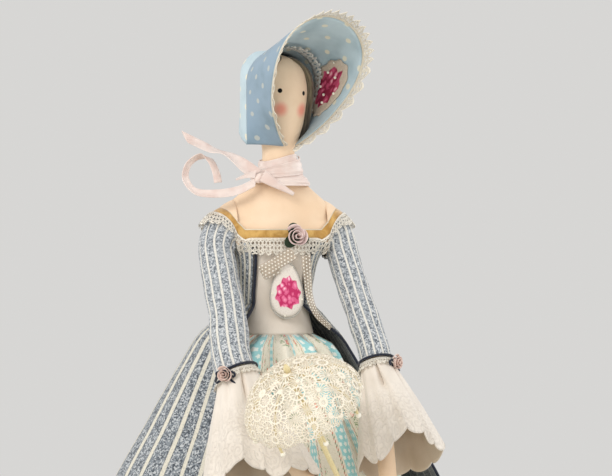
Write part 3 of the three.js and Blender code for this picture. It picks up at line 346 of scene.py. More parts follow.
class Value:
    """A number on a shader socket, with arithmetic."""

    def __init__(self, graph, socket):
        self.graph = graph
        self.socket = socket

    __add__ = __radd__ = shader_math("ADD")
    __sub__ = shader_math("SUBTRACT")
    __mul__ = __rmul__ = shader_math("MULTIPLY")
    __truediv__ = shader_math("DIVIDE")
    fract = shader_math("FRACT")
    floor = shader_math("FLOOR")
    abs = shader_math("ABSOLUTE")
    sin = shader_math("SINE")
    sqrt = shader_math("SQRT")
    min = shader_math("MINIMUM")
    max = shader_math("MAXIMUM")

    def __rsub__(self, other):
        return self.graph.math("SUBTRACT", other, self)

    def step(self, low, high):
        """From 0 at low to 1 at high, smoothly."""
        return self.graph.ramp(self, low, high)

    def cell(self, pitch):
        """From -0.5 to 0.5 across each cell of a pitch."""
        return (self / pitch).fract() - 0.5


def from_middle(x, y):
    return (x * x + y * y).sqrt()


class Graph:
    """Builds one material's nodes."""

    def __init__(self, name, roughness=0.9, metallic=0.0, sheen=0.0, specular=0.3):
        self.material = bpy.data.materials.new(name)
        self.material.use_nodes = True
        self.nodes = self.material.node_tree.nodes
        self.links = self.material.node_tree.links
        self.shader = self.nodes["Principled BSDF"]
        self.shader.inputs["Roughness"].default_value = roughness
        self.shader.inputs["Metallic"].default_value = metallic
        self.shader.inputs["Specular IOR Level"].default_value = specular
        if sheen:
            self.shader.inputs["Sheen Weight"].default_value = sheen
            self.shader.inputs["Sheen Roughness"].default_value = 0.5
        self.coords = None
        self.bumps = None

    def put(self, socket, value):
        if isinstance(value, Value):
            self.links.new(value.socket, socket)
        elif hasattr(value, "node"):
            self.links.new(value, socket)
        else:
            socket.default_value = value

    def math(self, operation, *values):
        node = self.nodes.new("ShaderNodeMath")
        node.operation = operation
        for socket, value in zip(node.inputs, values):
            self.put(socket, value)
        return Value(self, node.outputs[0])

    def ramp(self, value, low, high):
        node = self.nodes.new("ShaderNodeMapRange")
        node.interpolation_type = "SMOOTHSTEP"
        self.put(node.inputs[0], value)
        if low <= high:
            node.inputs[1].default_value, node.inputs[2].default_value = low, high
        else:
            node.inputs[1].default_value, node.inputs[2].default_value = high, low
            node.inputs[3].default_value, node.inputs[4].default_value = 1, 0
        return Value(self, node.outputs[0])

    def _coordinates(self):
        if self.coords is None:
            self.coords = self.nodes.new("ShaderNodeTexCoord")
        return self.coords

    def uv(self):
        return self.split(self._coordinates().outputs["UV"])[:2]

    def space(self):
        """The place on the piece, in millimetres."""
        scale = self.nodes.new("ShaderNodeVectorMath")
        scale.operation = "SCALE"
        self.links.new(self._coordinates().outputs["Object"], scale.inputs[0])
        scale.inputs["Scale"].default_value = 1000
        return scale.outputs[0]

    def split(self, vector):
        node = self.nodes.new("ShaderNodeSeparateXYZ")
        self.links.new(vector, node.inputs[0])
        return [Value(self, node.outputs[k]) for k in range(3)]

    def vector(self, x, y, z=0.0):
        node = self.nodes.new("ShaderNodeCombineXYZ")
        for socket, value in zip(node.inputs, (x, y, z)):
            self.put(socket, value)
        return node.outputs[0]

    def noise(self, vector, scale, detail=2.0, rough=0.5, distortion=0.0):
        node = self.nodes.new("ShaderNodeTexNoise")
        self.links.new(vector, node.inputs["Vector"])
        node.inputs["Scale"].default_value = scale
        node.inputs["Detail"].default_value = detail
        node.inputs["Roughness"].default_value = rough
        node.inputs["Distortion"].default_value = distortion
        return Value(self, node.outputs["Fac"])

    def cells(self, vector, scale, feature="F1", randomness=1.0):
        node = self.nodes.new("ShaderNodeTexVoronoi")
        node.feature = feature
        self.links.new(vector, node.inputs["Vector"])
        node.inputs["Scale"].default_value = scale
        node.inputs["Randomness"].default_value = randomness
        return node

    def polar(self, here, cell):
        """How far a place is from its cell's centre, and at which angle."""
        offset = self.nodes.new("ShaderNodeVectorMath")
        offset.operation = "SUBTRACT"
        self.links.new(here, offset.inputs[0])
        self.links.new(cell.outputs["Position"], offset.inputs[1])
        dx, dy, _ = self.split(offset.outputs[0])
        return Value(self, cell.outputs["Distance"]), self.math("ARCTAN2", dy, dx)

    def mix(self, a, b, factor):
        node = self.nodes.new("ShaderNodeMix")
        node.data_type = "RGBA"
        self.put(node.inputs[0], factor)
        self.put(node.inputs[6], a)
        self.put(node.inputs[7], b)
        return node.outputs[2]

    def colour(self, value):
        self.put(self.shader.inputs["Base Color"], value)

    def bump(self, height, distance, strength=1.0):
        node = self.nodes.new("ShaderNodeBump")
        node.inputs["Distance"].default_value = distance * MM
        node.inputs["Strength"].default_value = strength
        self.put(node.inputs["Height"], height)
        if self.bumps is not None:
            self.links.new(self.bumps, node.inputs["Normal"])
        self.bumps = node.outputs[0]
        self.links.new(self.bumps, self.shader.inputs["Normal"])

    def alpha(self, value):
        self.put(self.shader.inputs["Alpha"], value)

    def weave(self, u, v, pitch_u, pitch_v, distance):
        """Crossing threads; u and v are in millimetres."""
        over = (u * (pi / pitch_u)).sin().abs()
        under = (v * (pi / pitch_v)).sin().abs()
        self.bump(over.max(under), distance, 0.6)


def plain_cloth(name, base, second):
    g = Graph(name, 0.9, sheen=0.15)
    space = g.space()
    broad = g.noise(space, 0.05, 3)
    fine = g.noise(space, 2.2, 2)
    tint = g.mix(base, second, broad.step(0.35, 0.7))
    g.colour(g.mix(tint, shaded(base, 0.88), fine.step(0.45, 0.85)))
    x, y, z = g.split(space)
    g.weave(x + y * 0.6, z + y * 0.3, 0.8, 0.8, 0.05)
    g.bump(fine, 0.12, 0.5)
    return g.material


SKIN_A, SKIN_B = srgb(245, 219, 190), srgb(236, 206, 174)


def skin_cloth(name, marks=()):
    g = Graph(name, 0.92, sheen=0.1, specular=0.2)
    space = g.space()
    broad = g.noise(space, 0.045, 3)
    fine = g.noise(space, 1.6, 3)
    base = g.mix(SKIN_A, SKIN_B, broad.step(0.3, 0.75))
    base = g.mix(base, srgb(214, 182, 142), fine.step(0.55, 0.95) * 0.5)
    for centre, radius, soft_edge, tint, strength in marks:
        node = g.nodes.new("ShaderNodeVectorMath")
        node.operation = "DISTANCE"
        g.links.new(space, node.inputs[0])
        node.inputs[1].default_value = centre
        far = Value(g, node.outputs["Value"])
        mask = g.ramp(far, radius + soft_edge, radius - soft_edge) * strength
        base = g.mix(base, tint, mask)
    g.colour(base)
    x, y, z = g.split(space)
    g.weave(x + y * 0.6, z + y * 0.2, 0.7, 0.7, 0.05)
    g.bump(fine, 0.1, 0.5)
    return g.material


def dotted_cotton(name, base, shade, dot, pitch_u, pitch_v, radius, strength=1.0):
    """Cotton with rows of round dots; the map is in millimetres."""
    g = Graph(name, 0.85, sheen=0.2, specular=0.25)
    u, v = g.uv()
    row = (v / pitch_v).floor()
    across = (u / pitch_u + row * 0.5).fract() - 0.5
    down = v.cell(pitch_v)
    x, y = across * pitch_u, down * pitch_v
    far = from_middle(x, y)
    rag = g.noise(g.space(), 1.2, 2)
    mask = g.ramp(far + rag * 0.5, radius + 0.45, radius + 0.05) * strength
    space = g.space()
    broad = g.noise(space, 0.05, 3)
    cloth = g.mix(base, shade, broad.step(0.4, 0.8))
    fine = g.noise(space, 2.4, 2)
    cloth = g.mix(cloth, shade, fine.step(0.5, 0.9) * 0.35)
    g.colour(g.mix(cloth, dot, mask))
    g.weave(u, v, 0.6, 0.6, 0.05)
    g.bump(mask, 0.08, 0.4)
    return g.material


def melange(name, stripes, half_width, tones):
    """Speckled flannel with stripes; u counts stripes and v is their pitch in millimetres."""
    g = Graph(name, 0.95, sheen=0.25, specular=0.2)
    u, v = g.uv()
    space = g.space()
    speck = g.noise(space, 1.0, 3, 0.75)
    fleck = g.split(g.cells(space, 1.15).outputs["Color"])[0]
    broad = g.noise(space, 0.06, 2)
    low, middle, high, line = tones
    base = g.mix(low, middle, fleck.step(0.2, 0.36))
    base = g.mix(base, high, fleck.step(0.66, 0.78) * 0.75)
    base = g.mix(base, middle, broad.step(0.45, 0.8) * 0.3)
    pitch = v / stripes
    wobble = g.noise(space, 0.9, 2) * 0.6 - 0.3
    edge = ((u * stripes).fract() - 0.5).abs() * pitch + wobble
    half = (pitch * 0.2).min(half_width)
    mask = g.ramp(edge / half, 1.15, 0.8)
    hem = g.ramp(edge / half, 1.9, 1.1)
    base = g.mix(base, low, hem * 0.4)
    worn = speck.step(0.5, 0.65) * 0.4
    base = g.mix(base, g.mix(line, middle, worn), mask * 0.92)
    g.colour(base)
    g.bump(speck, 0.35, 0.5)
    g.bump(mask, 0.15, 0.5)
    return g.material


def petticoat_cotton(name):
    """Cotton with aqua bands and sprigged cream bands; u counts bands and v is in millimetres."""
    g = Graph(name, 0.88, sheen=0.15, specular=0.25)
    u, v = g.uv()
    space = g.space()
    fine = g.noise(space, 1.5, 2)
    phase = u.fract()
    from_band = (phase - 0.5).abs()
    sprig = (phase + 0.5).fract() - 0.5
    cream, cream_shade = srgb(236, 230, 214), srgb(220, 210, 190)
    aqua, aqua_shade = srgb(164, 216, 218), srgb(140, 200, 206)
    base = g.mix(cream, cream_shade, fine.step(0.4, 0.8))
    band = g.mix(aqua, aqua_shade, fine.step(0.4, 0.8))
    in_band = g.ramp(from_band, 0.145, 0.13)
    row = (v / 4.2).floor()
    dot_x = ((phase - 0.5) / 0.11 + row * 0.5).fract() - 0.5
    dot_y = v.cell(4.2)
    spokes = (g.math("ARCTAN2", dot_y, dot_x) * 2.5).sin().abs() * 0.12
    dot = g.ramp(from_middle(dot_x, dot_y) - spokes, 0.28, 0.18)
    band = g.mix(band, srgb(244, 246, 238), dot * 0.9)
    base = g.mix(base, band, in_band)
    rope = (from_band - 0.2).abs()
    twist = (v / 2.6 + from_band * 22).fract() - 0.5
    line = g.ramp(rope, 0.028, 0.014) * g.ramp(twist.abs(), 0.3, 0.18)
    red_or_green = g.ramp(v.cell(5.2), -0.02, 0.02)
    base = g.mix(base, g.mix(srgb(196, 110, 92), srgb(92, 120, 84), red_or_green), line)
    here = g.vector(sprig * 26.0, v)
    cell = g.cells(here, 0.16, randomness=0.7)
    near = Value(g, cell.outputs["Distance"])
    side = g.split(cell.outputs["Color"])
    away = g.ramp(sprig.abs(), 0.2, 0.17)
    blossom = g.ramp(near + g.noise(here, 1.1, 2) * 0.25, 0.42, 0.32) * away
    leaf_ring = g.ramp(near + g.noise(here, 1.6, 2) * 0.5, 0.78, 0.66) * away
    leaf_ring = leaf_ring * g.noise(here, 0.9, 2).step(0.45, 0.55)
    base = g.mix(base, srgb(118, 146, 96), leaf_ring * 0.85)
    petal = g.mix(srgb(206, 84, 84), srgb(232, 150, 138), side[0].step(0.3, 0.7))
    base = g.mix(base, petal, blossom)
    heart = g.ramp(near, 0.12, 0.06) * away
    base = g.mix(base, srgb(240, 214, 150), heart)
    g.colour(base)
    g.weave(u * 20.0, v, 0.7, 0.7, 0.05)
    return g.material


def lace_cotton(name, base, length, width, pitch, scallop=0.0, tip=1.0, weight=0.2):
    """An openwork lace; u runs along it and v from its sewn edge to its free edge."""
    g = Graph(name, 0.9, sheen=0.1, specular=0.25)
    u, v = g.uv()
    x, y = u * length, v * width
    one, two = (x + y).cell(pitch).abs(), (x - y).cell(pitch).abs()
    net = g.ramp(one.min(two), weight * 0.62, weight * 0.38)
    ring = (from_middle(x.cell(pitch), y.cell(pitch)) - 0.2).abs()
    rings = g.ramp(ring, 0.09, 0.05)
    top = g.ramp(v, 0.12, 0.09)
    edge = g.ramp(v, 0.86, 0.9)
    solid = net.max(rings).max(top).max(edge)
    if scallop:
        wave = x.cell(scallop) * 2.0
        limit = 1.0 - (wave * wave) * tip
        holes = g.ramp(v - limit, 0.02, -0.02)
        solid = solid * holes
    g.alpha(solid)
    fine = g.noise(g.space(), 2.5, 2)
    g.colour(g.mix(base, shaded(base, 0.8), fine.step(0.4, 0.8)))
    g.bump(net.max(rings), 0.25, 0.8)
    return g.material


def satin(name, base, shade, opacity, roughness=0.45, sheen=0.4):
    g = Graph(name, roughness, sheen=sheen, specular=0.4)
    _, v = g.uv()
    space = g.space()
    broad = g.noise(space, 0.12, 2)
    g.colour(g.mix(base, shade, broad.step(0.35, 0.7)))
    rib = (v * 90.0).sin()
    g.bump(rib, 0.04, 0.5)
    edge = ((v - 0.5).abs()).step(0.46, 0.48)
    g.alpha((edge * (1 - opacity)) + opacity + (broad - 0.5) * 0.1)
    return g.material


def wood_grain(name, base, shade):
    g = Graph(name, 0.5, specular=0.4)
    space = g.space()
    x, y, z = g.split(space)
    grain = g.noise(g.vector(x * 3.0, y * 3.0, z * 0.3), 1.0, 3)
    g.colour(g.mix(base, shade, grain.step(0.35, 0.7)))
    g.bump(grain, 0.1, 0.4)
    return g.material


def thread(name, base):
    """A twisted cord."""
    g = Graph(name, 0.75, sheen=0.2)
    space = g.space()
    fine = g.noise(space, 3.0, 2)
    x, y, z = g.split(space)
    ply = ((x + y + z) / 1.2 * tau).sin()
    worn = tuple(c * 1.8 + 0.004 for c in base[:3]) + (1.0,)
    g.colour(g.mix(base, worn, fine.step(0.5, 0.85)))
    g.bump(ply, 0.2, 0.7)
    return g.material


def pearl(name, base, roughness=0.25, metallic=0.0):
    g = Graph(name, roughness, metallic=metallic, specular=0.6)
    bright = tuple(min(c * 1.15, 1) for c in base[:3]) + (1.0,)
    g.colour(g.mix(base, bright, g.noise(g.space(), 0.6, 2)))
    return g.material


def flower_cloth(name, ground, ground_shade, deep, middle, pale, centre, size, tilt=0.0):
    """Cloth with one round many-petalled bloom; the map runs from -1 to 1 both ways."""
    g = Graph(name, 0.7, sheen=0.1, specular=0.3)
    u, v = g.uv()
    space = g.space()
    fine = g.noise(space, 1.4, 2)
    x, y = (u - centre[0]) / size[0], (v - centre[1]) / size[1]
    warp = g.noise(g.vector(x * 2.0, y * 2.0), 1.6, 3) - 0.5
    angle = g.math("ARCTAN2", y, x) + tilt + warp * 0.3
    far = from_middle(x, y) + warp * 0.14
    ruffle = (angle * 4.5).sin().abs() * 0.16
    inside = g.ramp(far + ruffle, 1.08, 1.0)
    cell = g.cells(g.vector(x + warp * 0.3, y - warp * 0.3), 2.7, randomness=0.85)
    petal = Value(g, cell.outputs["Distance"]) + far * 0.12
    tone = g.split(cell.outputs["Color"])[0]
    shade = g.mix(pale, middle, petal.step(0.22, 0.42))
    shade = g.mix(shade, deep, petal.step(0.44, 0.62))
    shade = g.mix(shade, middle, tone.step(0.6, 0.7) * 0.6)
    shade = g.mix(shade, srgb(250, 240, 240), g.ramp(petal, 0.26, 0.1) * g.ramp(tone, 0.5, 0.3) * 0.8)
    cloth = g.mix(ground, ground_shade, fine.step(0.35, 0.8))
    g.colour(g.mix(cloth, shade, inside))
    g.bump(inside * (1 - petal), 0.3, 0.6)
    g.bump(fine, 0.1, 0.5)
    return g.material


def vine_cloth(name, base, shade):
    """Cloth with raised scrolls."""
    g = Graph(name, 0.82, sheen=0.15, specular=0.3)
    u, v = g.uv()
    space = g.space()
    here = g.vector(u, v)
    near, angle = g.polar(here, g.cells(here, 0.17, randomness=0.75))
    curl = (near * 17.0 - angle).sin()
    raised = g.ramp(curl, 0.25, 0.75) * g.ramp(near, 0.95, 0.8)
    lower = g.ramp(v, 14.0, 44.0)
    fine = g.noise(space, 1.8, 3)
    cloth = g.mix(base, shade, g.noise(space, 0.06, 3).step(0.35, 0.75))
    cloth = g.mix(cloth, shade, fine.step(0.5, 0.85) * 0.4)
    g.colour(g.mix(cloth, shaded(shade, 0.86), raised * lower * 0.16))
    g.bump(raised * lower, 0.35, 0.9)
    g.bump(fine, 0.12, 0.4)
    return g.material


def parasol_lace(name, base, shade):
    """Stiff lace of daisies; the map is the flat round, in millimetres."""
    g = Graph(name, 0.8, sheen=0.1, specular=0.3)
    u, v = g.uv()
    here = g.vector(u, v)
    near, angle = g.polar(here, g.cells(here, 0.082, randomness=0.6))
    petals = (angle * 5.0).sin().abs()
    inner = g.ramp(near, 0.1, 0.14) * g.ramp(near, 0.4, 0.35)
    hole_a = inner * petals.step(0.35, 0.6)
    outer_petals = (angle * 8.0 + 0.6).sin().abs()
    outer = g.ramp(near, 0.46, 0.5) * g.ramp(near, 0.74, 0.66)
    hole_b = outer * outer_petals.step(0.45, 0.7)
    mesh_cells = g.cells(here, 0.62, "DISTANCE_TO_EDGE", 0.9)
    gap = Value(g, mesh_cells.outputs["Distance"]).step(0.16, 0.24)
    between = g.ramp(near, 0.68, 0.76) * gap
    holes = hole_a.max(hole_b).max(between)
    g.alpha(1 - holes)
    fine = g.noise(g.space(), 1.8, 2)
    g.colour(g.mix(base, shade, fine.step(0.35, 0.8)))
    g.bump((near * 30.0).sin() + fine * 2.0, 0.2, 0.5)
    return g.material


def velvet(name):
    g = Graph(name, 0.8, sheen=0.6, specular=0.3)
    space = g.space()
    broad = g.noise(space, 0.14, 3, 0.6, 0.5)
    fine = g.noise(space, 2.4, 2)
    # The lighter ochre patches are painted sheen of the velvet's pile.
    base = g.mix(srgb(178, 132, 62), srgb(214, 172, 100), broad.step(0.35, 0.68))
    g.colour(g.mix(base, srgb(160, 118, 54), fine.step(0.5, 0.9) * 0.4))
    g.bump(fine, 0.1, 0.6)
    return g.material


def organza(name):
    g = Graph(name, 0.6, sheen=0.2, specular=0.4)
    u, v = g.uv()
    pitch = 2.1
    row = (v / pitch).floor()
    a = (u / pitch + row * 0.5).fract() - 0.5
    dot = g.ramp(from_middle(a, v.cell(pitch)) * pitch, 0.6, 0.42)
    g.colour(g.mix(srgb(200, 184, 164), srgb(248, 242, 230), dot))
    g.alpha(dot * 0.45 + 0.42)
    g.bump(dot, 0.2, 0.8)
    g.weave(u, v, 0.4, 0.4, 0.03)
    return g.material


def wool(name):
    g = Graph(name, 0.95, sheen=0.3, specular=0.25)
    u, v = g.uv()
    streak = g.noise(g.vector(u * 90.0, v * 4.0), 1.0, 3, 0.6)
    high = v.step(0.1, 0.8)
    dark = g.mix(srgb(46, 42, 38), srgb(78, 68, 54), high)
    light = g.mix(srgb(84, 76, 64), srgb(142, 128, 102), high)
    base = g.mix(dark, light, streak.step(0.3, 0.7))
    stray = g.noise(g.vector(u * 200.0, v * 6.0), 1.0, 2).step(0.6, 0.8)
    g.colour(g.mix(base, srgb(158, 144, 116), stray * 0.5))
    g.bump(streak, 0.5, 0.9)
    return g.material


mat_skin = skin_cloth("skin cloth")
BONNET_TONES = srgb(190, 208, 216), srgb(158, 179, 188), srgb(228, 222, 200)
# The bonnet's inner side: the same dotted cotton in darker tones, as painted shade.
BONNET_INSIDE_SHADE_TONES = srgb(140, 162, 180), srgb(122, 144, 158), srgb(184, 188, 182)
BONNET_DOTS = (22.0, 9.6, 1.9)
mat_bonnet = dotted_cotton("bonnet cotton", *BONNET_TONES, *BONNET_DOTS, 0.9)
mat_bonnet_inside_shade = dotted_cotton("bonnet inside painted shade", *BONNET_INSIDE_SHADE_TONES, *BONNET_DOTS, 0.85)
COAT_TONES = srgb(76, 82, 90), srgb(130, 137, 144), srgb(208, 211, 213), srgb(226, 220, 204)
# Darker tones of the same striped flannel for the inner side of the coat and sleeves: painted shade.
COAT_INSIDE_SHADE_TONES = srgb(84, 88, 92), srgb(112, 116, 120), srgb(146, 149, 150), srgb(180, 180, 172)
SLEEVE_TONES = srgb(102, 108, 116), srgb(158, 164, 170), srgb(218, 220, 222), srgb(232, 228, 218)
SLEEVE_STRIPES = 12
mat_coat = melange("coat flannel", 1, 2.1, COAT_TONES)
mat_coat_inside_shade = melange("coat inside painted shade", 2, 0.5, COAT_INSIDE_SHADE_TONES)
mat_sleeve = melange("sleeve flannel", 1, 0.75, SLEEVE_TONES)
# Each piece's second material is painted shade on its inner side.
COAT_WITH_SHADED_INSIDE = [mat_coat, mat_coat_inside_shade]
SLEEVE_WITH_SHADED_INSIDE = [mat_sleeve, mat_coat_inside_shade]
mat_bodice = plain_cloth("bodice cotton", srgb(232, 222, 210), srgb(222, 210, 196))
mat_petticoat = petticoat_cotton("petticoat cotton")
mat_plain = plain_cloth("inner cotton", srgb(226, 218, 202), srgb(214, 204, 186))
mat_cuff = vine_cloth("cuff cloth", srgb(234, 225, 214), srgb(224, 214, 202))
# The cuffs' inner side in darker tan: painted shade.
mat_cuff_inside_shade = plain_cloth("cuff inside painted shade", srgb(208, 192, 172), srgb(194, 176, 152))
mat_lace = lace_cotton("neckline lace", srgb(250, 243, 230), 74.0, 10.0, 2.9, 5.3, 0.16, weight=0.17)
mat_fine_lace = lace_cotton("fine lace", srgb(252, 245, 232), 90.0, 4.0, 1.9, 3.4, 0.3)
mat_brim_lace = lace_cotton("brim lace net", srgb(246, 238, 222), 210.0, 9.0, 2.7, 0, 0, 0.19)
mat_ring_lace = lace_cotton("ring lace", srgb(255, 253, 248), 110.0, 6.4, 3.2, 3.2, 0.25)
mat_piping = plain_cloth("cream edging", srgb(226, 216, 196), srgb(212, 200, 178))
mat_velvet = velvet("ochre velvet")
mat_navy = thread("navy cord", srgb(28, 34, 52))
mat_rose = satin("rose ribbon", srgb(242, 220, 214), srgb(218, 190, 186), 1.0, 0.6, 0.3)
mat_cuff_rose = satin("cuff rose ribbon", srgb(238, 212, 200), srgb(216, 186, 174), 1.0, 0.6, 0.3)
mat_leaf = plain_cloth("leaf cloth", srgb(52, 70, 46), srgb(36, 50, 36))
mat_silk = satin("silk ribbon", srgb(248, 232, 224), srgb(236, 212, 202), 0.8)
mat_organza = organza("dotted organza")
mat_wool = wool("brown wool")
mat_wood = wood_grain("pale wood", srgb(236, 222, 176), srgb(214, 192, 140))
mat_parasol = parasol_lace("parasol lace", srgb(247, 240, 226), srgb(233, 218, 188))
mat_pearl = pearl("pearl", srgb(244, 236, 220))
mat_bead = pearl("silver bead", srgb(188, 184, 176), 0.3, 0.7)
MEDALLION_GROUND = srgb(232, 224, 214), srgb(216, 206, 196)
MEDALLION_BLOOM = srgb(192, 44, 98), srgb(232, 112, 154), srgb(252, 208, 220)
PATCH_GROUND = srgb(206, 190, 172), srgb(188, 170, 152)
PATCH_BLOOM = srgb(142, 26, 62), srgb(204, 78, 116), srgb(240, 182, 194)
mat_medallion = flower_cloth("medallion cloth", *MEDALLION_GROUND, *MEDALLION_BLOOM,
                             (0.05, -0.08), (0.8, 0.62))
mat_patch = flower_cloth("patch cloth", *PATCH_GROUND, *PATCH_BLOOM, (-0.05, 0.0), (0.74, 0.74), 0.6)

# Stuffed body

TORSO = [
    (272, 18, 12, 2.0),
    (277, 23, 16, 2.0),
    (288, 27, 19, 2.1),
    (301, 24, 19, 2.1),
    (320, 20, 17, 2.1),
    (336, 21.2, 18, 2.1),
    (352, 24.5, 19, 2.4),
    (366, 36, 18.5, 2.8),
    (382, 36, 15.5, 2.8),
    (388, 29.5, 14, 2.5),
    (396, 20.5, 12.6, 2.2),
    (403, 14.5, 11.5, 2.0),
    (410, 10.5, 10.5, 2.0),
]
WAIST_LEAN = [
    (240, 0),
    (290, -2.4),
    (325, -2.4),
    (366, 0),
]
ARMHOLE, ARMHOLE_RADIUS = 30.2, 16.2
SHOULDER_HEIGHT, SHOULDER_GAP = 366, 0.4


def torso_point(angle, height, offset=0.0):
    half_width = profile(TORSO, height, 1) + offset
    half_depth = profile(TORSO, height, 2) + offset
    power = 2 / profile(TORSO, height, 3)
    s, c = sin(angle), cos(angle)
    x = copysign(abs(s) ** power, s) * half_width
    y = -copysign(abs(c) ** power, c) * half_depth
    return vec(x + profile(WAIST_LEAN, height, 1), y, height)


def torso_reach(x, height, offset=0.0):
    half_width = profile(TORSO, height, 1)
    half_depth = profile(TORSO, height, 2)
    power = profile(TORSO, height, 3)
    x -= profile(WAIST_LEAN, height, 1)
    return half_depth * (1 - min(abs(x) / half_width, 1) ** power) ** (1 / power) + offset


def at_torso(u, v):
    p = torso_point(u * tau, lerp(TORSO[0][0], TORSO[-1][0], v))
    ring = sqrt(max(ARMHOLE_RADIUS ** 2 - (p.z - SHOULDER_HEIGHT) ** 2, 0))
    reach = max(torso_reach(ARMHOLE, p.z), 4)
    level = smooth(p.z, 386, 379) * smooth(p.z, 348, 354)
    if ring > reach and abs(p.x) < ARMHOLE:
        p.y = copysign(lerp(abs(p.y), ring, level * smooth(abs(p.x), 19, ARMHOLE)), p.y)
    elif ring > reach:
        p.y *= lerp(1, ring / reach, level)
    p.x = clamp(p.x, -ARMHOLE, ARMHOLE)
    return p


stuff("Torso", at_torso, (64, 90), mat_skin, "doll", "torso")

HEAD = [
    (410.4, 10.5, 10.5, 0),
    (420, 10.5, 11, 0.5),
    (427, 12.1, 13, 1.5),
    (436, 15.4, 16, 1.5),
    (446, 17.4, 19, 1),
    (457, 19, 20.5, 0.5),
    (466, 18.4, 20, 0),
    (473.5, 15.8, 17, 0),
    (479, 9.5, 11, 0),
    (481.5, 3.5, 4, 0),
]
HEAD_TURN = radians(20)
turn_head = Matrix.Rotation(HEAD_TURN, 3, "Z")


def head_point(angle, height, offset=0.0):
    half_width = profile(HEAD, height, 1) + offset
    half_depth = profile(HEAD, height, 2) + offset
    return vec(sin(angle) * half_width, -cos(angle) * half_depth - profile(HEAD, height, 3), height)


def turned(at):
    return lambda u, v: turn_head @ at(u, v)


def on_face(side, height, lift=0.0):
    """A place on the front of the face, at a distance to its left."""
    half_width = profile(HEAD, height, 1)
    angle = asin(side / half_width)
    return turn_head @ head_point(angle, height, lift)


def at_head(u, v):
    return head_point(u * tau, lerp(HEAD[0][0], HEAD[-1][0], v))


EYE_HEIGHT = 457.5
CHEEK_HEIGHT = 445.6
black = srgb(14, 13, 14)
blush = srgb(238, 146, 126)
marks = [
    (on_face(-8.8, CHEEK_HEIGHT), 3.9, 2.7, blush, 0.85),
    (on_face(6.8, CHEEK_HEIGHT - 0.2), 3.9, 2.7, blush, 0.85),
    (on_face(-9.6, EYE_HEIGHT), 1.5, 0.22, black, 1.0),
    (on_face(7.6, EYE_HEIGHT - 1.2), 1.5, 0.22, black, 1.0),
]
stuff("Head", turned(at_head), (64, 72), skin_cloth("face cloth", marks), "doll", "head")

HAIR_OPEN = [
    (423, 50, 62),
    (430, 48, 62),
    (445, 40, 55),
    (460, 38, 52),
    (472, 34, 44),
    (479, 18, 20),
]


def at_hair(u, v):
    height = lerp(lerp(423.5, 427.5, u), 480.0, v)
    start, end = [radians(profile(HAIR_OPEN, height, column)) for column in (1, 2)]
    angle = lerp(start, tau - end, u)
    strand = 0.35 * sin(u * 150) + 0.25 * sin(u * 67 + 3 * v)
    inside = min(u, 1 - u)
    lift = lerp(0.5, 3.3, smooth(inside, 0, 0.03)) - 1.9 * smooth(inside, 0.04, 0.14)
    return head_point(angle, height, lerp(lift, min(lift, 1.4), smooth(height, 468, 478)) + 0.3 * strand)


sew("Hair", turned(at_hair), (220, 24), 1.0, [mat_wool], "doll", "hair_wool", "hair")

# Bonnet

CROWN_HALF_WIDTH, CROWN_HALF_DEPTH, CROWN_TOP, BONNET_HEM = 23, 26, 484.3, 426
BRIM_REACH = [
    (422, 14),
    (436, 26),
    (446, 33),
    (455, 39.5),
    (465, 46),
    (479, 53),
    (492, 57),
    (506, 60),
]
BRIM_HALF_WIDTH, BRIM_TOP, BRIM_WIDE, BRIM_CHIN, BRIM_END = 31.5, 502, 472, 422.5, 1.78
BRIM_TUCK = radians(70)


def brim_point(u, v):
    turn = (2 * u - 1) * BRIM_END
    side = copysign(1, turn)
    over = min(abs(turn), 1) * (pi / 2)
    under = max(abs(turn) - 1, 0) / (BRIM_END - 1)
    back_rise = CROWN_TOP - CROWN_HALF_WIDTH + 1
    drop = back_rise - BONNET_HEM + (2.7 if side < 0 else -8)
    back_height = back_rise + (CROWN_TOP - back_rise) * cos(over) - drop * under
    back = vec(side * CROWN_HALF_WIDTH * sin(over), 0.3, back_height)
    dip = under * BRIM_TUCK
    rim_height = BRIM_WIDE + (BRIM_TOP - BRIM_WIDE) * cos(over)
    rim_height -= (BRIM_WIDE - BRIM_CHIN) * sin(dip) / sin(BRIM_TUCK)
    rim_width = BRIM_HALF_WIDTH * sin(over) * cos(dip) ** 1.8
    rim = vec(side * rim_width, -profile(BRIM_REACH, rim_height, 1), rim_height)
    sag = sin(v * pi) * (1.2 * cos(over) - 0.4)
    point = back.lerp(rim, v)
    point.z -= sag
    return point


def raised(at, distance):
    """A surface at a distance from another one."""
    step = 0.001

    def lifted(u, v):
        along = at(min(u + step, 1), v) - at(max(u - step, 0), v)
        down = at(u, min(v + step, 1)) - at(u, max(v - step, 0))
        return at(u, v) + along.cross(down).normalized() * distance
    return lifted


def running_length(at, v, steps=120):
    """The length along a row of a surface, up to each u."""
    lengths = [0.0]
    for i in range(steps):
        lengths.append(lengths[-1] + (at((i + 1) / steps, v) - at(i / steps, v)).length)

    def length(u):
        i = min(int(u * steps), steps - 1)
        return lerp(lengths[i], lengths[i + 1], u * steps - i)
    return length


brim_length = running_length(brim_point, 0.6)


def brim_map(u, v):
    return ((brim_point(u, 1) - brim_point(u, 0)).length * v + 4.0, brim_length(u))


# The second material is painted shade on the inner side of the brim and crown.
BONNET_WITH_SHADED_INSIDE = [mat_bonnet, mat_bonnet_inside_shade]
sew("Bonnet_brim", turned(brim_point), (120, 24), 1.5, BONNET_WITH_SHADED_INSIDE, "doll", "bonnet_cotton", "bonnet_brim",
    uv=brim_map)


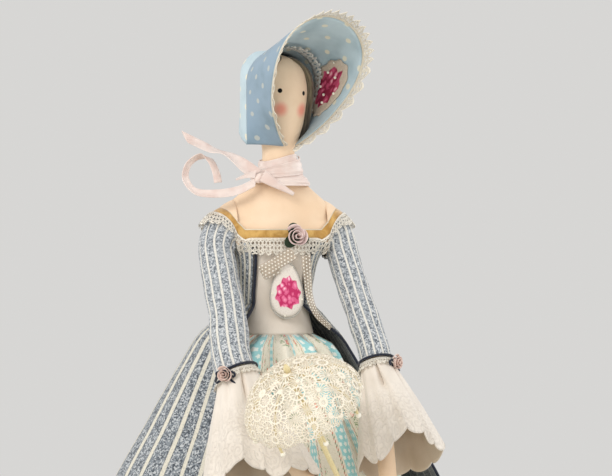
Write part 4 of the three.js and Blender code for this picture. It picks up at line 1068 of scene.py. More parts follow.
def crown_point(u, v):
    angle = lerp(pi / 2, pi * 1.5, u)
    back = sin(u * pi)
    edge = min(u, 1 - u)
    hem = BONNET_HEM - 2.7 + 9 * sin(min(edge / 0.3, 1) * pi / 2) + 11 * smooth(u, 0.35, 0)
    rise = smooth(v, 0.5, 1)
    height = lerp(hem, CROWN_TOP, min(v * 1.12, sin(v * pi / 2) ** 0.92))
    spread = sqrt(max(1 - rise ** 3.0, 0.0004))
    skirt = 1 - smooth(v, 0, 0.3)
    curtain = 1 + 0.1 * skirt * back
    crease = 0.05 * exp(-((u - 0.2) / 0.03) ** 2) * smooth(v, 0.98, 0.55)
    wave = 0.02 * sin(u * 19) * skirt + 0.012 * sin(u * 9 + v * 3)
    x = sin(angle) * CROWN_HALF_WIDTH * min(spread, 1.02) * (1 - crease + wave * back)
    level = clamp((height - CROWN_TOP + CROWN_HALF_WIDTH - 1) / (CROWN_HALF_WIDTH - 1))
    seam = copysign(CROWN_HALF_WIDTH * sqrt(1 - level * level), sin(angle) if edge else 0.5 - u)
    x = lerp(x, seam, smooth(edge, 0.14, 0))
    return vec(x, 0.3 - cos(angle) * CROWN_HALF_DEPTH * spread * curtain * (1 - crease + wave), height)


sew("Bonnet_crown", turned(crown_point), (96, 60), 1.4, BONNET_WITH_SHADED_INSIDE, "doll", "bonnet_cotton", "bonnet_crown",
    uv=lambda u, v: (u * 77.0, v * 68.0))


def brim_beyond(u, distance):
    edge = brim_point(u, 1)
    outward_way = (edge - brim_point(u, 0.8)).normalized()
    return edge + outward_way * distance


rim = [turn_head @ brim_beyond(i / 60, 0.9) for i in range(61)]
sew_cord("Bonnet_piping", rim, 0.6, 8, 140, mat_piping, "doll", "lace", "bonnet_piping")

LACE_POINTS = 32


def at_brim_lace(u, v):
    tip = (1 - abs(2 * ((u * LACE_POINTS) % 1) - 1)) ** 0.8
    ruffle = 0.5 * sin(u * LACE_POINTS * tau) * v
    p = brim_beyond(u, 1.1 + v * (4.2 + 6.2 * tip) * lerp(0.2, 1, smooth(u, 0.36, 0.46)))
    return p + vec(ruffle, -0.4 * ruffle, 0.2 * ruffle)


sew("Bonnet_lace", turned(at_brim_lace), (LACE_POINTS * 12, 6), 0.5, [mat_brim_lace],
    "doll", "lace", "bonnet_lace")


def at_frill(u, v):
    along = lerp(0.1, 0.9, u)
    inner_side = raised(brim_point, 1.4)
    edge = inner_side(along, 0.16)
    inward = raised(brim_point, 5.0)(along, 0.42)
    wave = 0.5 * sin(u * 130) * v
    return edge.lerp(inward, v * 0.72) + vec(wave, 0, wave)


sew("Bonnet_frill", turned(at_frill), (260, 5), 0.4, [mat_ring_lace], "doll", "lace", "bonnet_frill")

PATCH_CENTRE = (0.822, 0.48)
PATCH_REACH = (22, 0.35)


def brim_share(length):
    """The u of the brim at a length along its arc."""
    low, high = 0.0, 1.0
    for _ in range(20):
        middle = (low + high) / 2
        low, high = (middle, high) if brim_length(middle) < length else (low, middle)
    return low


def on_patch(angle, radius, lift):
    along = brim_length(PATCH_CENTRE[0]) + PATCH_REACH[0] * radius * cos(angle)
    down = PATCH_CENTRE[1] + PATCH_REACH[1] * radius * sin(angle)
    return raised(brim_point, lift)(brim_share(along), down)


def at_patch(u, v):
    angle = u * tau
    return on_patch(angle, v * (1 + 0.03 * cos(14 * angle)), 2.2 - 0.9 * (v ** 4))


def round_map(u, v):
    return (v * cos(u * tau), v * sin(u * tau))


sew("Bonnet_patch", turned(at_patch), (96, 12), 0.7, [mat_patch], "doll", "flower_cloth", "bonnet_patch",
    closed=True, uv=round_map)
PEARL_PLACES = [
    (0.4, 0.55), (1.3, 0.72), (2.4, 0.5),
    (3.3, 0.66), (4.3, 0.45), (5.2, 0.7),
    (0.0, 0.2), (5.9, 0.9), (2.9, 0.93),
]
pearls = [(turn_head @ on_patch(a, r, 3.0), 0.95 if r < 0.9 else 0.6) for a, r in PEARL_PLACES]
sew_beads("Patch_pearls", pearls, mat_pearl, "flower_cloth")

# Clothes of the upper body

CLOTH_GAP, CLOTH, COAT, LACE = 0.5, 1.2, 1.4, 0.8
BODICE_OFFSET = CLOTH_GAP + CLOTH / 2
COAT_OFFSET = BODICE_OFFSET + CLOTH / 2 + 0.9 + COAT / 2
BAND = 7
COAT_FRONT = 17.5
LACE_OFFSET = COAT_OFFSET + COAT / 2 + 0.9 + LACE / 2


def neckline_at(x):
    return 368 + max(abs(x) - 25, 0)


def band_drop(x):
    return lerp(BAND, 9.4, smooth(abs(x), 21.5, 29.5))


def bodice_top(x):
    return neckline_at(x) - band_drop(x) - 0.9


def chest_top(angle):
    """Where the bodice ends under the band, at an angle round the chest."""
    return bodice_top(sin(angle) * 27)


def open_armholes(obj):
    """Cuts off what lies beyond the armholes."""
    bm = bmesh.new()
    bm.from_mesh(obj.data)
    for side in (-1, 1):
        everything = bm.verts[:] + bm.edges[:] + bm.faces[:]
        edge = (side * (ARMHOLE - 0.2) * MM, 0, 0)
        bmesh.ops.bisect_plane(bm, geom=everything, dist=1e-6, plane_co=edge, plane_no=(side, 0, 0),
                               clear_outer=True)
    bm.to_mesh(obj.data)
    bm.free()


def at_bodice(u, v):
    angle = u * tau
    p = torso_point(angle, lerp(chest_top(angle) + 1.5, 300.6, v), BODICE_OFFSET)
    crease = 0.35 * noise.noise(vec(p.x * 0.09, p.y * 0.09, p.z * 0.05)) * smooth(v, 0.4, 0.95)
    return p + vec(p.x, p.y, 0).normalized() * crease


sew("Bodice", at_bodice, (96, 30), CLOTH, [mat_bodice], "doll", "bodice_cotton", "bodice",
    closed=True, cut=open_armholes)

COAT_OPENING = [
    (200, 28, 86),
    (285, 32, 84),
    (293, 35, 80),
    (301, 39, 72),
    (312, 43, 55),
]
WAIST = 320


def coat_edge(height, side):
    if height > WAIST - 4:
        return asin(COAT_FRONT / (profile(TORSO, height, 1) + COAT_OFFSET))
    return radians(profile(COAT_OPENING, height, 1 if side < 0 else 2))


def at_coat_bodice(u, v):
    edge = coat_edge(lerp(bodice_top(COAT_FRONT), WAIST, v), 1)
    angle = lerp(edge, tau - edge, u)
    return torso_point(angle, lerp(chest_top(angle), WAIST + 0.3, v), COAT_OFFSET)


COAT_STRIPES = 26
sew("Coat_bodice", at_coat_bodice, (96, 24), COAT, COAT_WITH_SHADED_INSIDE, "doll", "coat_flannel", "coat_bodice",
    uv=lambda u, v: (u * COAT_STRIPES, 5.5), cut=open_armholes, turn=True, even=False)

# Skirts

SKIRT = [
    (0, 174, 175, 166),
    (50, 167, 148, 157),
    (100, 153, 120, 141),
    (150, 132, 95, 119),
    (209, 104.5, 70, 94),
    (240, 87, 60, 79),
    (271, 68, 46.5, 62),
    (286, 58.5, 40, 53),
    (301, 48, 32.5, 43),
    (312, 34, 26, 32),
    (320, 23.6, 20.6, 20.6),
]
COAT_FOLDS, COAT_FOLD_DEPTH = 12, 4
PLEATS, SKIRT_CLOTH, SKIRT_GAP = 16, 1.6, 1.3


def skirt_point(angle, height, offset, fold):
    half_width = profile(SKIRT, height, 1) + offset + fold
    reach = profile(SKIRT, height, 2 if cos(angle) > 0 else 3) + offset + fold
    lean = profile(WAIST_LEAN, height, 1)
    return vec(sin(angle) * half_width + lean, -cos(angle) * reach, height)


def fold_growth(height):
    return smooth(WAIST - height, 8, WAIST)


def coat_fold(angle, height):
    return COAT_FOLD_DEPTH * fold_growth(height) * cos(COAT_FOLDS * (angle - pi))


def slimmer(angle, height, share):
    """The left side of the skirts hangs closer than the right one."""
    return 1 - share * smooth(sin(angle), 0.2, 0.9) * smooth(height, 318, 304)


def coat_point(angle, height, fold):
    p = skirt_point(angle, height, 0, fold)
    p.x *= slimmer(angle, height, 0.12 * smooth(height, 215, 262))
    return p


def coat_rise(v):
    """The share of the way up the coat's skirt, with closer rows near the waist."""
    return 1 - 0.5 * v - 0.5 * v * v


def coat_place(u, v):
    """The angle and height of a place on the coat's skirt."""
    height = lerp(0.0, WAIST - 0.3, coat_rise(v))
    return lerp(coat_edge(height, 1), tau - coat_edge(height, -1), u), height


def at_coat_skirt(u, v):
    angle, height = coat_place(u, v)
    gather = 0.5 * cos(72 * angle) * smooth(height, 285, 315) * 0.6
    ripple = 0.8 * noise.noise(vec(angle * 3, height * 0.012, 2.5)) * fold_growth(height)
    return coat_point(angle, height, coat_fold(angle, height) + gather + ripple)


STRIPE_PLACES = [
    (26, -0.5),
    (36.3, 0.5),
    (44.6, 1.5),
    (53.6, 2.5),
    (65.2, 3.5),
    (78.7, 4.5),
    (92, 5.5),
    (103.6, 6.5),
    (180, 13),
]


def coat_map(u, v):
    angle, height = coat_place(u, v)
    from_front = degrees(min(angle, tau - angle))
    count = profile(STRIPE_PLACES, from_front, 1)
    return (count if angle < pi else COAT_STRIPES - count, profile(SKIRT, height, 1) * 0.2)


coat_skirt = sew("Coat_skirt", at_coat_skirt, (280, 60), SKIRT_CLOTH, COAT_WITH_SHADED_INSIDE,
                 "doll", "coat_flannel", "coat_skirt", uv=coat_map, turn=True)
declare_sheet(coat_skirt, ["coat_bodice"], 280, 60)

PETTICOAT_TOP = 300.4
BAND_PERIODS = 24


def petticoat_point(angle, height):
    down = PETTICOAT_TOP - height
    pleat = lerp(2.7, 4.5, smooth(down, 0, PETTICOAT_TOP)) * smooth(down, 0, 6)
    inset = COAT_FOLD_DEPTH * fold_growth(height) + pleat + SKIRT_CLOTH + SKIRT_GAP
    gathered = torso_point(angle, 301, CLOTH_GAP + SKIRT_CLOTH / 2)
    gathered.z = height
    puff = 1.0 * smooth(down, 0, 10) * smooth(60, down, down + 60) if down < 60 else 0.0
    sharp = 1 - 2 * abs(sin(PLEATS * angle / 2)) ** 1.3
    near_waist = smooth(height, 180, 290)
    form = lerp(cos(PLEATS * angle), sharp, near_waist)
    deeper = pleat * (1 + 0.8 * near_waist)
    full = skirt_point(angle, height, -inset - 0.8 * pleat * near_waist, deeper * form + puff)
    full.x *= slimmer(angle, height, 0.24 * smooth(height, 90, 250))
    fullness = sqrt(smooth(down, -0.01, 9))
    return gathered.lerp(full, fullness)


def petticoat_height(v):
    return lerp(0.0, PETTICOAT_TOP, (1 - v) ** 1.35)


def at_petticoat(u, v):
    return petticoat_point(u * tau, petticoat_height(v))


def petticoat_map(u, v):
    height = petticoat_height(v)
    hidden = 0.85 * smooth(height, 200, 292)
    bands = BAND_PERIODS * u - hidden * (BAND_PERIODS / PLEATS) / tau * sin(PLEATS * u * tau)
    return (bands, height)


petticoat = sew("Petticoat", at_petticoat, (384, 64), SKIRT_CLOTH, [mat_petticoat, mat_plain],
                "doll", "petticoat_cotton", "petticoat", closed=True, uv=petticoat_map, turn=True)
declare_sheet(petticoat, ["bodice"], 384, 64, closed=True)


def beside(at, edge, distance):
    """The place that lies a distance before an edge's angle."""
    step = 0.01
    stretch = (at(edge) - at(edge - step)).length / step
    return at(edge - distance / stretch)


def coat_piping(side, name):
    points = []
    clear = 1.7
    for i in range(5):
        height = lerp(bodice_top(COAT_FRONT) - 1, WAIST, i / 5)
        edge = coat_edge(height, side)
        points.append(beside(lambda a: torso_point(side * a, height, COAT_OFFSET), edge, clear))
    for i in range(25):
        height = max(lerp(0.0, WAIST, coat_rise(i / 24)), 1.0)
        edge = coat_edge(height, side)
        points.append(beside(lambda a: coat_point(side * a, height, coat_fold(edge, height)), edge, clear))
    sew_cord("Coat_piping_" + name, points, 1.0, 8, 150, mat_navy, "doll", "navy_cord", "coat_piping_" + name)


coat_piping(-1, "right")
coat_piping(1, "left")

# Neckline

REACH_X = ARMHOLE - 0.1
BAND_RING, LACE_RING = 17.7, 19


def dressed_reach(x, height, stand, ring):
    """How far a trim stands forward: off the torso, and off the sleeve's ring at the armhole."""
    at_ring = sqrt(max(ring * ring - (height - SHOULDER_HEIGHT) ** 2, 1.0))
    return lerp(torso_reach(x, height, stand), at_ring, smooth(abs(x), 19, ARMHOLE))


def band_at(facing, x, share, stand):
    height = neckline_at(x) - share * band_drop(x)
    return vec(x, facing * dressed_reach(x, height, stand, BAND_RING), height)


for facing, name in ((-1, "front"), (1, "back")):

    def at_band(u, v):
        stand = CLOTH_GAP + CLOTH / 2 + 0.5 * sin(v * pi)
        return band_at(facing, lerp(-REACH_X, REACH_X, u), v, stand)

    sew("Neckline_band_" + name, at_band, (60, 6), CLOTH, [mat_velvet],
        "doll", "velvet", "neckline_band_" + name)
    edge = [band_at(facing, lerp(-REACH_X, REACH_X, i / 24), -0.04, CLOTH_GAP + 0.7) for i in range(25)]
    sew_cord("Neckline_edge_" + name, edge, 0.6, 7, 90, mat_piping, "doll", "velvet")

    def at_lace(u, v):
        x = lerp(-REACH_X, REACH_X, u)
        top = neckline_at(x) - band_drop(x) + 2
        scallop = 1.4 * abs(sin(u * 11 * pi))
        height = top - v * (10 + scallop)
        stand = lerp(2 * CLOTH_GAP + CLOTH + LACE / 2 + 0.6, LACE_OFFSET, smooth(v, 0, 0.2))
        stand += 1.2 * v + 0.45 * cos(u * 22 * pi) * v
        return vec(x, facing * dressed_reach(x, height, stand, LACE_RING + v), height)

    sew("Neckline_lace_" + name, at_lace, (200, 10), 0.5, [mat_lace], "doll", "lace", "neckline_lace_" + name)

# Arms

ARM_SWING = radians(33)
SLEEVE_HEAD = 16
SLEEVES = {"right": (11, 12), "left": (10, 9.6)}
ELBOW_SHARE, WRIST_SHARE = 0.4, 0.8
ARM_TABLE = [
    (0, 7.4, 1),
    (ELBOW_SHARE, 7, 1),
    (0.6, 6.4, 1),
    (WRIST_SHARE, 5.6, 1),
    (0.92, 7.6, 0.71),
    (1, 5.7, 0.71),
]
CANOPY = vec(-8.7, -124, 262.6)
PARASOL_AXIS = vec(-0.451, -0.415, 0.79).normalized()
GRIP = CANOPY - PARASOL_AXIS * 86
RIGHT = [vec(-38, -58, 279), vec(3, -85, 212)]
RIGHT.append(GRIP + (GRIP - RIGHT[1]).normalized() * 8)
LEFT = [vec(52.5, -54, 285), vec(54.5, -76, 214), vec(53.5, -86, 178)]


def swing(p, angle):
    return Matrix.Rotation(angle, 3, "X") @ p


def pivot_of(side):
    """The middle of the shoulder's hinge."""
    return vec(side * (ARMHOLE + SHOULDER_GAP), 0, SHOULDER_HEIGHT)


def shoulder_section(side, sleeve_radius, turn):
    """A section of the sleeve's head, turned about the armpit from the armhole (0) to the arm."""
    armpit = vec(side * 0.2, 0, -(SLEEVE_HEAD + SHOULDER_GAP))
    out = vec(side * sin(turn), 0, cos(turn))
    radius = sleeve_radius + (SLEEVE_HEAD - sleeve_radius) * cos(turn) ** 3
    return (armpit + out * (radius + SHOULDER_GAP), out, vec(0, -side, 0), radius, 1.0)


def arm_curve(side, start, places):
    elbow, wrist, hand = [swing(p - pivot_of(side), ARM_SWING) for p in places]
    return Spline([start, start.lerp(elbow, 0.5), elbow, elbow.lerp(wrist, 0.5), wrist, hand])


def sections_along(curve, side, start, end, steps, radius_at, flat_at=lambda t: 1.0):
    """Sections of centre, outward way, forward way, radius and flatness along part of a curve."""
    sections = []
    for i in range(steps + 1):
        t = lerp(start, end, i / steps)
        tangent = curve.tangent(t)
        out = vec(side, 0, 0)
        out = (out - tangent * out.dot(tangent)).normalized()
        sections.append((curve.at(t), out, tangent.cross(out), radius_at(t), flat_at(t)))
    return sections


def to_doll(side, section):
    """Brings a section from the arm's own frame, where it hangs straight down, to the doll's."""
    centre, out, forward, radius, flat = section
    out, forward = swing(out, -ARM_SWING), swing(forward, -ARM_SWING)
    return (swing(centre, -ARM_SWING) + pivot_of(side), out, forward, radius, flat)


def section_surface(sections, shape=lambda u, v: 0.0):
    """A round surface through sections; shape adds to its radius."""
    def at(u, v):
        where = v * (len(sections) - 1)
        i = min(int(where), len(sections) - 2)
        t = where - i
        near, far = sections[i], sections[i + 1]
        centre = near[0].lerp(far[0], t)
        out = near[1].lerp(far[1], t).normalized()
        forward = near[2].lerp(far[2], t).normalized()
        radius = lerp(near[3], far[3], t) + shape(u, v)
        flat = lerp(near[4], far[4], t)
        angle = u * tau
        return centre + out * cos(angle) * radius + forward * sin(angle) * radius * flat
    return at


def rose(name, centre, facing, radius, material, body, *nodes):
    """A ribbon rolled round itself, with its outer turns opened into petals."""
    side = Z_AXIS.cross(facing).normalized()
    up = facing.cross(side)
    turns = 3.4

    def at(u, v):
        angle = u * turns * tau
        open_out = u ** 1.2
        petal = abs(sin(angle * 1.25 + 0.4)) ** 0.6
        reach = lerp(0.06, 0.82, u) * radius + v * v * radius * lerp(0.05, 0.3, open_out) * petal
        height = radius * (lerp(0.25, 0.0, u) + v * lerp(0.75, 0.5, u) * (0.75 + 0.25 * petal))
        height -= 0.12 * radius * v ** 4 * open_out
        return centre + side * cos(angle) * reach + up * sin(angle) * reach + facing * height

    sew(name, at, (260, 8), radius * 0.05, [material], body, "rose_cloth", *nodes)


# A cord bow's loop and end: how far along the cord, down and out
BOW_LOOP = [(0, 0, 0), (3.4, -1.8, 0.6), (6.2, -0.6, 1), (5.4, 1.2, 0.8), (2, 0.4, 0)]
BOW_END = [(0, 0, 0), (3.2, 3.2, 0.4), (6.4, 5.6, 0.2)]


def cord_bow(name, centre, across, out, body):
    """A small bow of cord with two loops and two ends."""
    down = across.cross(out).normalized()
    if down.z > 0:
        down = -down
    parts = []
    for way in (-across, across):
        for route, steps in ((BOW_LOOP, 26), (BOW_END, 14)):
            points = [centre + way * a + down * b + out * c for a, b, c in route]
            parts.append(tube("bow", points, 0.75, 7, steps))
    place(paint(join(name, parts), mat_navy), body, "navy_cord")


def round_armhole(side, section, angle, reach):
    """A place round a section of the sleeve's head, on the doll."""
    centre, out = section[:2]
    p = swing(centre + out * cos(angle) * reach - vec(0, 1, 0) * sin(angle) * reach, -ARM_SWING)
    return p + pivot_of(side)


def shoulder_strip(side, sleeve_radius, upper, lower, stand, scallops=0):
    """A strip over the sleeve's head; its edges are given in degrees round the armhole and outwards."""
    def at(u, v):
        across = 2 * u - 1
        drop = v * (1 + (0.15 * abs(sin(u * scallops * pi)) if scallops else 0))
        end = radians(lerp(upper[0], lower[0], drop))
        turn = radians(lerp(upper[1], lower[1], drop)) * (1 - across * across)
        section = shoulder_section(side, sleeve_radius, turn)
        ruffle = v * (1 + 0.5 * cos(u * 2 * scallops * pi)) if scallops else 0.0
        p = round_armhole(side, section, across * end + ARM_SWING, section[3] + stand + ruffle)
        return p - vec(side * 0.9 * across ** 8, 0, 0)
    return at


def shoulder_skin(side, sleeve_radius):
    """The bare shoulder between the armhole and the velvet band."""
    def at(u, v):
        across = 2 * u - 1
        end = across * radians(68)
        turn = radians(lerp(0.0, 18.0, v)) * (1 - across * across)
        section = shoulder_section(side, sleeve_radius, turn)
        reach = section[3] + 0.9 + 4.6 * (1 - v) * cos(end) ** 2
        return round_armhole(side, section, end + ARM_SWING, reach) - vec(side * 1.3 * (1 - v) ** 2, 0, 0)
    return at


# Cuff hems, as closed loops of places: the right one from its outer side by the back, the left by the front
RIGHT_HEM = [
    vec(-59, -86, 206),
    vec(-62, -72, 205),
    vec(-55, -70, 205),
    vec(-40, -71.5, 203),
    vec(-21, -73, 205),
    vec(-3, -74.5, 211),
    vec(9, -83, 220),
    vec(2, -94, 223),
    vec(-10, -98, 226),
    vec(-20.5, -98, 221),
    vec(-34, -98, 227.5),
    vec(-43, -97, 231),
    vec(-54, -92, 218),
]
LEFT_HEM = [
    vec(91, -72, 233),
    vec(84, -84, 235),
    vec(77.5, -88, 241.5),
    vec(67.5, -90, 246.5),
    vec(60, -90, 245),
    vec(53, -89, 235),
    vec(45.4, -87, 226.5),
    vec(38, -78, 229),
    vec(40, -65, 219),
    vec(52, -60, 214),
    vec(66, -54, 216),
    vec(80, -52, 217.5),
    vec(90, -60, 223),
]
# Angles and depths of the cuffs' pleats
PLEAT_ANGLES = ((0.9, 1.4), (2.0, 5.5), (3.2, 1.4), (4.7, 5.5), (5.5, 1.6))


def cuff_surface(top, hem_points):
    centre, out, forward, radius, _ = top
    down = -forward.cross(out).normalized()
    start = centre + down * 0.9
    hem = Spline(hem_points, closed=True)
    middle = sum(hem_points, Vector()) / len(hem_points)

    def at(u, v):
        angle = u * tau
        ring = start + (out * cos(angle) + forward * sin(angle)) * (radius - 0.2)
        point = ring.lerp(hem.at(u), v)
        away = point - start.lerp(middle, v)
        away.z = 0
        near_top = sin(min(v * 2.2, 1) * pi)
        width = 0.12 + 0.24 * v
        pleat = sum(depth * max(0, 1 - abs((angle - a) / width)) for a, depth in PLEAT_ANGLES) * near_top
        fold = 1.6 * sin(5 * angle + 0.8) * v - pleat + 0.5 * sin(11 * angle + 2) * sin(v * pi)
        scallop = 3.6 * abs(sin(5.5 * angle)) ** 0.6 * smooth(v, 0.6, 1.0)
        return point + away.normalized() * (0.8 * sin(v * pi) + fold) - vec(0, 0, scallop)
    return at


ARMS = [
    (-1, "right", RIGHT, RIGHT_HEM, vec(-0.55, -0.8, 0)),
    (1, "left", LEFT, LEFT_HEM, vec(0.7, -0.7, 0)),
]
for side, name, places, hem, rose_way in ARMS:
    body = name + "_arm"
    sleeve_top, sleeve_end = SLEEVES[name]
    shoulder = [shoulder_section(side, sleeve_top, i / 12 * pi / 2) for i in range(13)]
    curve = arm_curve(side, shoulder[-1][0], places)
    upper = sections_along(curve, side, 0, ELBOW_SHARE, 20,
                           lambda t: lerp(sleeve_top, sleeve_end, t / ELBOW_SHARE))[1:]
    sleeve_sections = [to_doll(side, s) for s in shoulder + upper]

    def puckers(u, v, side=side):
        gather = 0.55 * sin(u * tau * 11) * smooth(v, 0.45, 0.1)
        wrinkle = 0.9 * noise.noise(vec(cos(u * tau) * 1.2, sin(u * tau) * 1.2, v * 5 + side * 3))
        bend = 0.45 * sin(v * 34 + sin(u * tau) * 2) * smooth(v, 0.35, 0.6) * smooth(v, 1.0, 0.85)
        return gather + wrinkle * smooth(v, 0.0, 0.2) * smooth(v, 1.0, 0.9) + bend * 0.5

    sew("Sleeve_" + name, section_surface(sleeve_sections, puckers), (96, 72), CLOTH, SLEEVE_WITH_SHADED_INSIDE,
        body, "coat_flannel", "sleeve_" + name, closed=True, even=False,
        uv=lambda u, v: (u * SLEEVE_STRIPES, 6.0))

    inset = CLOTH / 2 + 2
    arm_shoulder = [(c, o, f, r - inset, k) for c, o, f, r, k in shoulder]
    bare = sections_along(curve, side, 0, 1, 44,
                          lambda t: profile(ARM_TABLE, t, 1), lambda t: profile(ARM_TABLE, t, 2))[1:]
    tip = curve.at(1) + curve.tangent(1) * 2.7
    last = bare[-1]
    bare.append((tip, last[1], last[2], last[3] * 0.72, last[4]))
    bare.append((tip + curve.tangent(1) * 1.2, last[1], last[2], last[3] * 0.4, last[4]))
    arm_sections = [to_doll(side, s) for s in arm_shoulder + bare]
    stuff("Arm_" + name, section_surface(arm_sections), (48, 110), mat_skin, body, "arm_" + name)

    top = to_doll(side, upper[-1])
    centre, out, forward, radius, _ = top
    down = -forward.cross(out).normalized()
    cuff_at = cuff_surface(top, hem)
    # The cuff's inner side gets the darker tan as painted shade.
    cuff = sew("Cuff_" + name, cuff_at, (220, 40), 0.9, [mat_cuff, mat_cuff_inside_shade],
               body, "cuff_cloth", "cuff_" + name, closed=True, uv=lambda u, v: (u * 150.0, v * 62.0))
    declare_sheet(cuff, ["sleeve_" + name], 220, 40, closed=True)

    ring = ring_of(centre, out, forward, radius + CLOTH / 2 + 0.4 + 0.75, 24)
    sew_cord("Cuff_cord_" + name, ring, 0.75, 8, 96, mat_navy,
             body, "navy_cord", "cuff_cord_" + name, closed=True)

    def at_cuff_lace(u, v):
        length = (cuff_at(u, 1) - cuff_at(u, 0)).length
        point = cuff_at(u, (0.6 + v * 5.2) / length)
        away = point - centre
        away = (away - down * away.dot(down)).normalized()
        return point + away * (1.3 + v * (1 + 0.5 * cos(18 * u * tau)))

    sew("Cuff_lace_" + name, at_cuff_lace, (220, 4), 0.45, [mat_fine_lace],
        body, "lace", "cuff_lace_" + name, closed=True)

    way = rose_way.normalized()
    rose_centre = centre + way * (radius + 4.4)
    rose("Cuff_rose_" + name, rose_centre, way, 5.2, mat_cuff_rose, body, "cuff_rose_" + name)
    cord_bow("Cuff_bow_" + name, centre + way * (radius + 3.2), Z_AXIS.cross(way).normalized(), way, body)

    stand = CLOTH + CLOTH_GAP
    band_at_shoulder = shoulder_strip(side, sleeve_top, (66, 14), (97, 27), stand)
    lace_at_shoulder = shoulder_strip(side, sleeve_top, (94, 26), (122, 46), stand + 1.3, 7)
    sew("Shoulder_band_" + name, band_at_shoulder, (60, 6), CLOTH, [mat_velvet],
        body, "velvet", "shoulder_band_" + name)
    sew("Shoulder_skin_" + name, shoulder_skin(side, sleeve_top), (48, 8), 0.8, [mat_skin],
        body, "body_cloth")
    edge = [band_at_shoulder(i / 20, -0.04) for i in range(21)]
    sew_cord("Shoulder_edge_" + name, edge, 0.6, 7, 70, mat_piping, body, "velvet")
    sew("Shoulder_lace_" + name, lace_at_shoulder, (150, 8), 0.5, [mat_lace],
        body, "lace", "shoulder_lace_" + name)

# Legs

LEG_X, SOLE, TOES = 13, 26.0, -32
LEG = [
    (30, 6.5), (78, 9), (140, 9), (201, 10.6), (241, 11),
    (263, 8.6), (267.8, 7.0), (270.6, 4.4), (271.6, 1.6),
]


def leg_surface(x):
    def at(u, v):
        angle = u * tau
        path = v * 1.25
        if path <= 1:
            height = lerp(LEG[-1][0], SOLE, path)
            r = profile(LEG, height, 1)
            return vec(x + cos(angle) * r, -sin(angle) * r, height)
        t = (path - 1) / 0.25
        turn = min(t * pi, pi / 2)
        centre = vec(x, lerp(0, TOES, t), lerp(20, 7, smooth(t, 0, 0.6)))
        r = lerp(6.5, 6.8, t) * sqrt(max(1 - smooth(t, 0.75, 1.0) ** 2 * 0.9, 0.05))
        return centre + X_AXIS * cos(angle) * r + vec(0, -cos(turn), sin(turn)) * sin(angle) * r * 0.9
    return at


for side, name in ((-1, "right"), (1, "left")):
    stuff("Leg_" + name, leg_surface(side * LEG_X), (32, 80), mat_skin, name + "_leg", "leg_" + name)

# Trims of the bodice

ROSE = vec(6.2, -(18.5 + LACE_OFFSET + 2.6) - 0.4, 364)
rose("Neckline_rose", ROSE, vec(0.12, -1, 0.1).normalized(), 7.4, mat_rose, "doll", "neckline_rose")


def at_leaves(u, v):
    angle = u * tau
    lobe = abs(cos(1.5 * angle + 0.4)) ** 1.5
    reach = 6.4 * lerp(0.1, 0.65 + 0.75 * lobe, v)
    return ROSE + vec(cos(angle) * reach, 0.8 + 0.5 * sin(3 * angle) * v, sin(angle) * reach)


sew("Rose_leaves", at_leaves, (96, 5), 0.5, [mat_leaf], "doll", "leaf_cloth", "rose_leaves", closed=True)

MEDALLION = vec(1, -22, 329.6)


def on_medallion(angle, half_width, half_height, lift):
    """A place on the egg-shaped outline of a size, at a distance behind the middle of the cloth."""
    across = cos(angle) * half_width * (1 - 0.27 * sin(angle))
    return MEDALLION + vec(across, lift, sin(angle) * half_height)


def at_medallion(u, v):
    return on_medallion(u * tau, 10 * v, 17 * v, -1.4 - 1.3 * sqrt(max(1 - v ** 4, 0)))


sew("Medallion", at_medallion, (72, 14), 0.8, [mat_medallion], "doll", "flower_cloth", "medallion",
    closed=True, uv=round_map)
sew("Medallion_back", lambda u, v: on_medallion(u * tau, 9.8 * v, 16.8 * v, 0.1), (48, 3), 0.8, [mat_plain],
    "doll", "flower_cloth", closed=True)
beads = [(on_medallion(i / 96 * tau, 10.4, 17.9, -1.2), 0.62) for i in range(96)]
sew_beads("Medallion_rim", beads, mat_bead, "bead_rim", "medallion_rim")
pearls = [(on_medallion(i / 52 * tau, 9.6, 16.6, -2.5), 0.65) for i in (9, 18, 27, 38, 49)]
sew_beads("Medallion_pearls", pearls, mat_pearl, "bead_rim")


def ribbon(name, places, width, steps, material, slot_name, *nodes, rows=8, wave=0.0, narrow=1.0):
    """A free ribbon through places, each with the direction across it; narrow is its last width's share."""
    middle = Spline([p[:3] for p in places])
    across = Spline([Vector(p[3:]).normalized() for p in places])
    length = path_length([middle.at(i / 60) for i in range(61)])
    dotted = material is mat_organza

    def at(u, v):
        way = across.at(u).normalized()
        normal = middle.tangent(u).cross(way).normalized()
        curl = wave * sin(v * pi) + 0.25 * wave * sin(u * 9)
        return middle.at(u) + way * (v - 0.5) * width * lerp(1.0, narrow, u) + normal * curl

    obj = sew(name, at, (steps, rows), 0.35 if dotted else 0.4, [material], "doll", slot_name, *nodes,
              uv=lambda u, v: (u * length, v * width if dotted else v))
    declare_sheet(obj, ["torso"], steps, rows)


ribbon("Organza_loop", [
    (5, -27.1, 353.5, -0.5, 0, 0.8),
    (-3, -27.4, 349, -0.55, 0, 0.8),
    (-10, -27.6, 345, -0.55, 0, 0.8),
    (-16.5, -27.2, 341, -0.45, 0.1, 0.85),
    (-14, -26.2, 340.5, -0.3, 0, 0.9),
    (-5, -26, 344.5, -0.3, 0, 0.9),
], 8.4, 70, mat_organza, "organza", "organza_loop", wave=0.2)
ribbon("Organza_tail", [
    (13, -26.3, 352, 1, 0, 0.2),
    (14, -26.3, 338, 1, 0, 0),
    (15.5, -26, 325, 0.9, 0, 0.2),
    (20, -26.4, 314, 0.8, 0, 0.6),
    (29, -27.3, 305, 0.6, 0, 0.8),
], 6.4, 70, mat_organza, "organza", "organza_tail", wave=0.2, narrow=0.45)

# Neck ribbon

NECK_TOP = TORSO[-1][0]


def at_neck_band(u, v):
    angle = u * tau
    height = 401 + v * 14 + 2 * sin(angle) + 0.8 * sin(2 * angle)
    fold = 0.5 * sin(v * 11 + angle) + 0.7 * sin(v * pi)
    spread = profile(TORSO, min(height, NECK_TOP), 1) + 1.5 + fold
    return vec(sin(angle) * spread, -cos(angle) * spread, height)


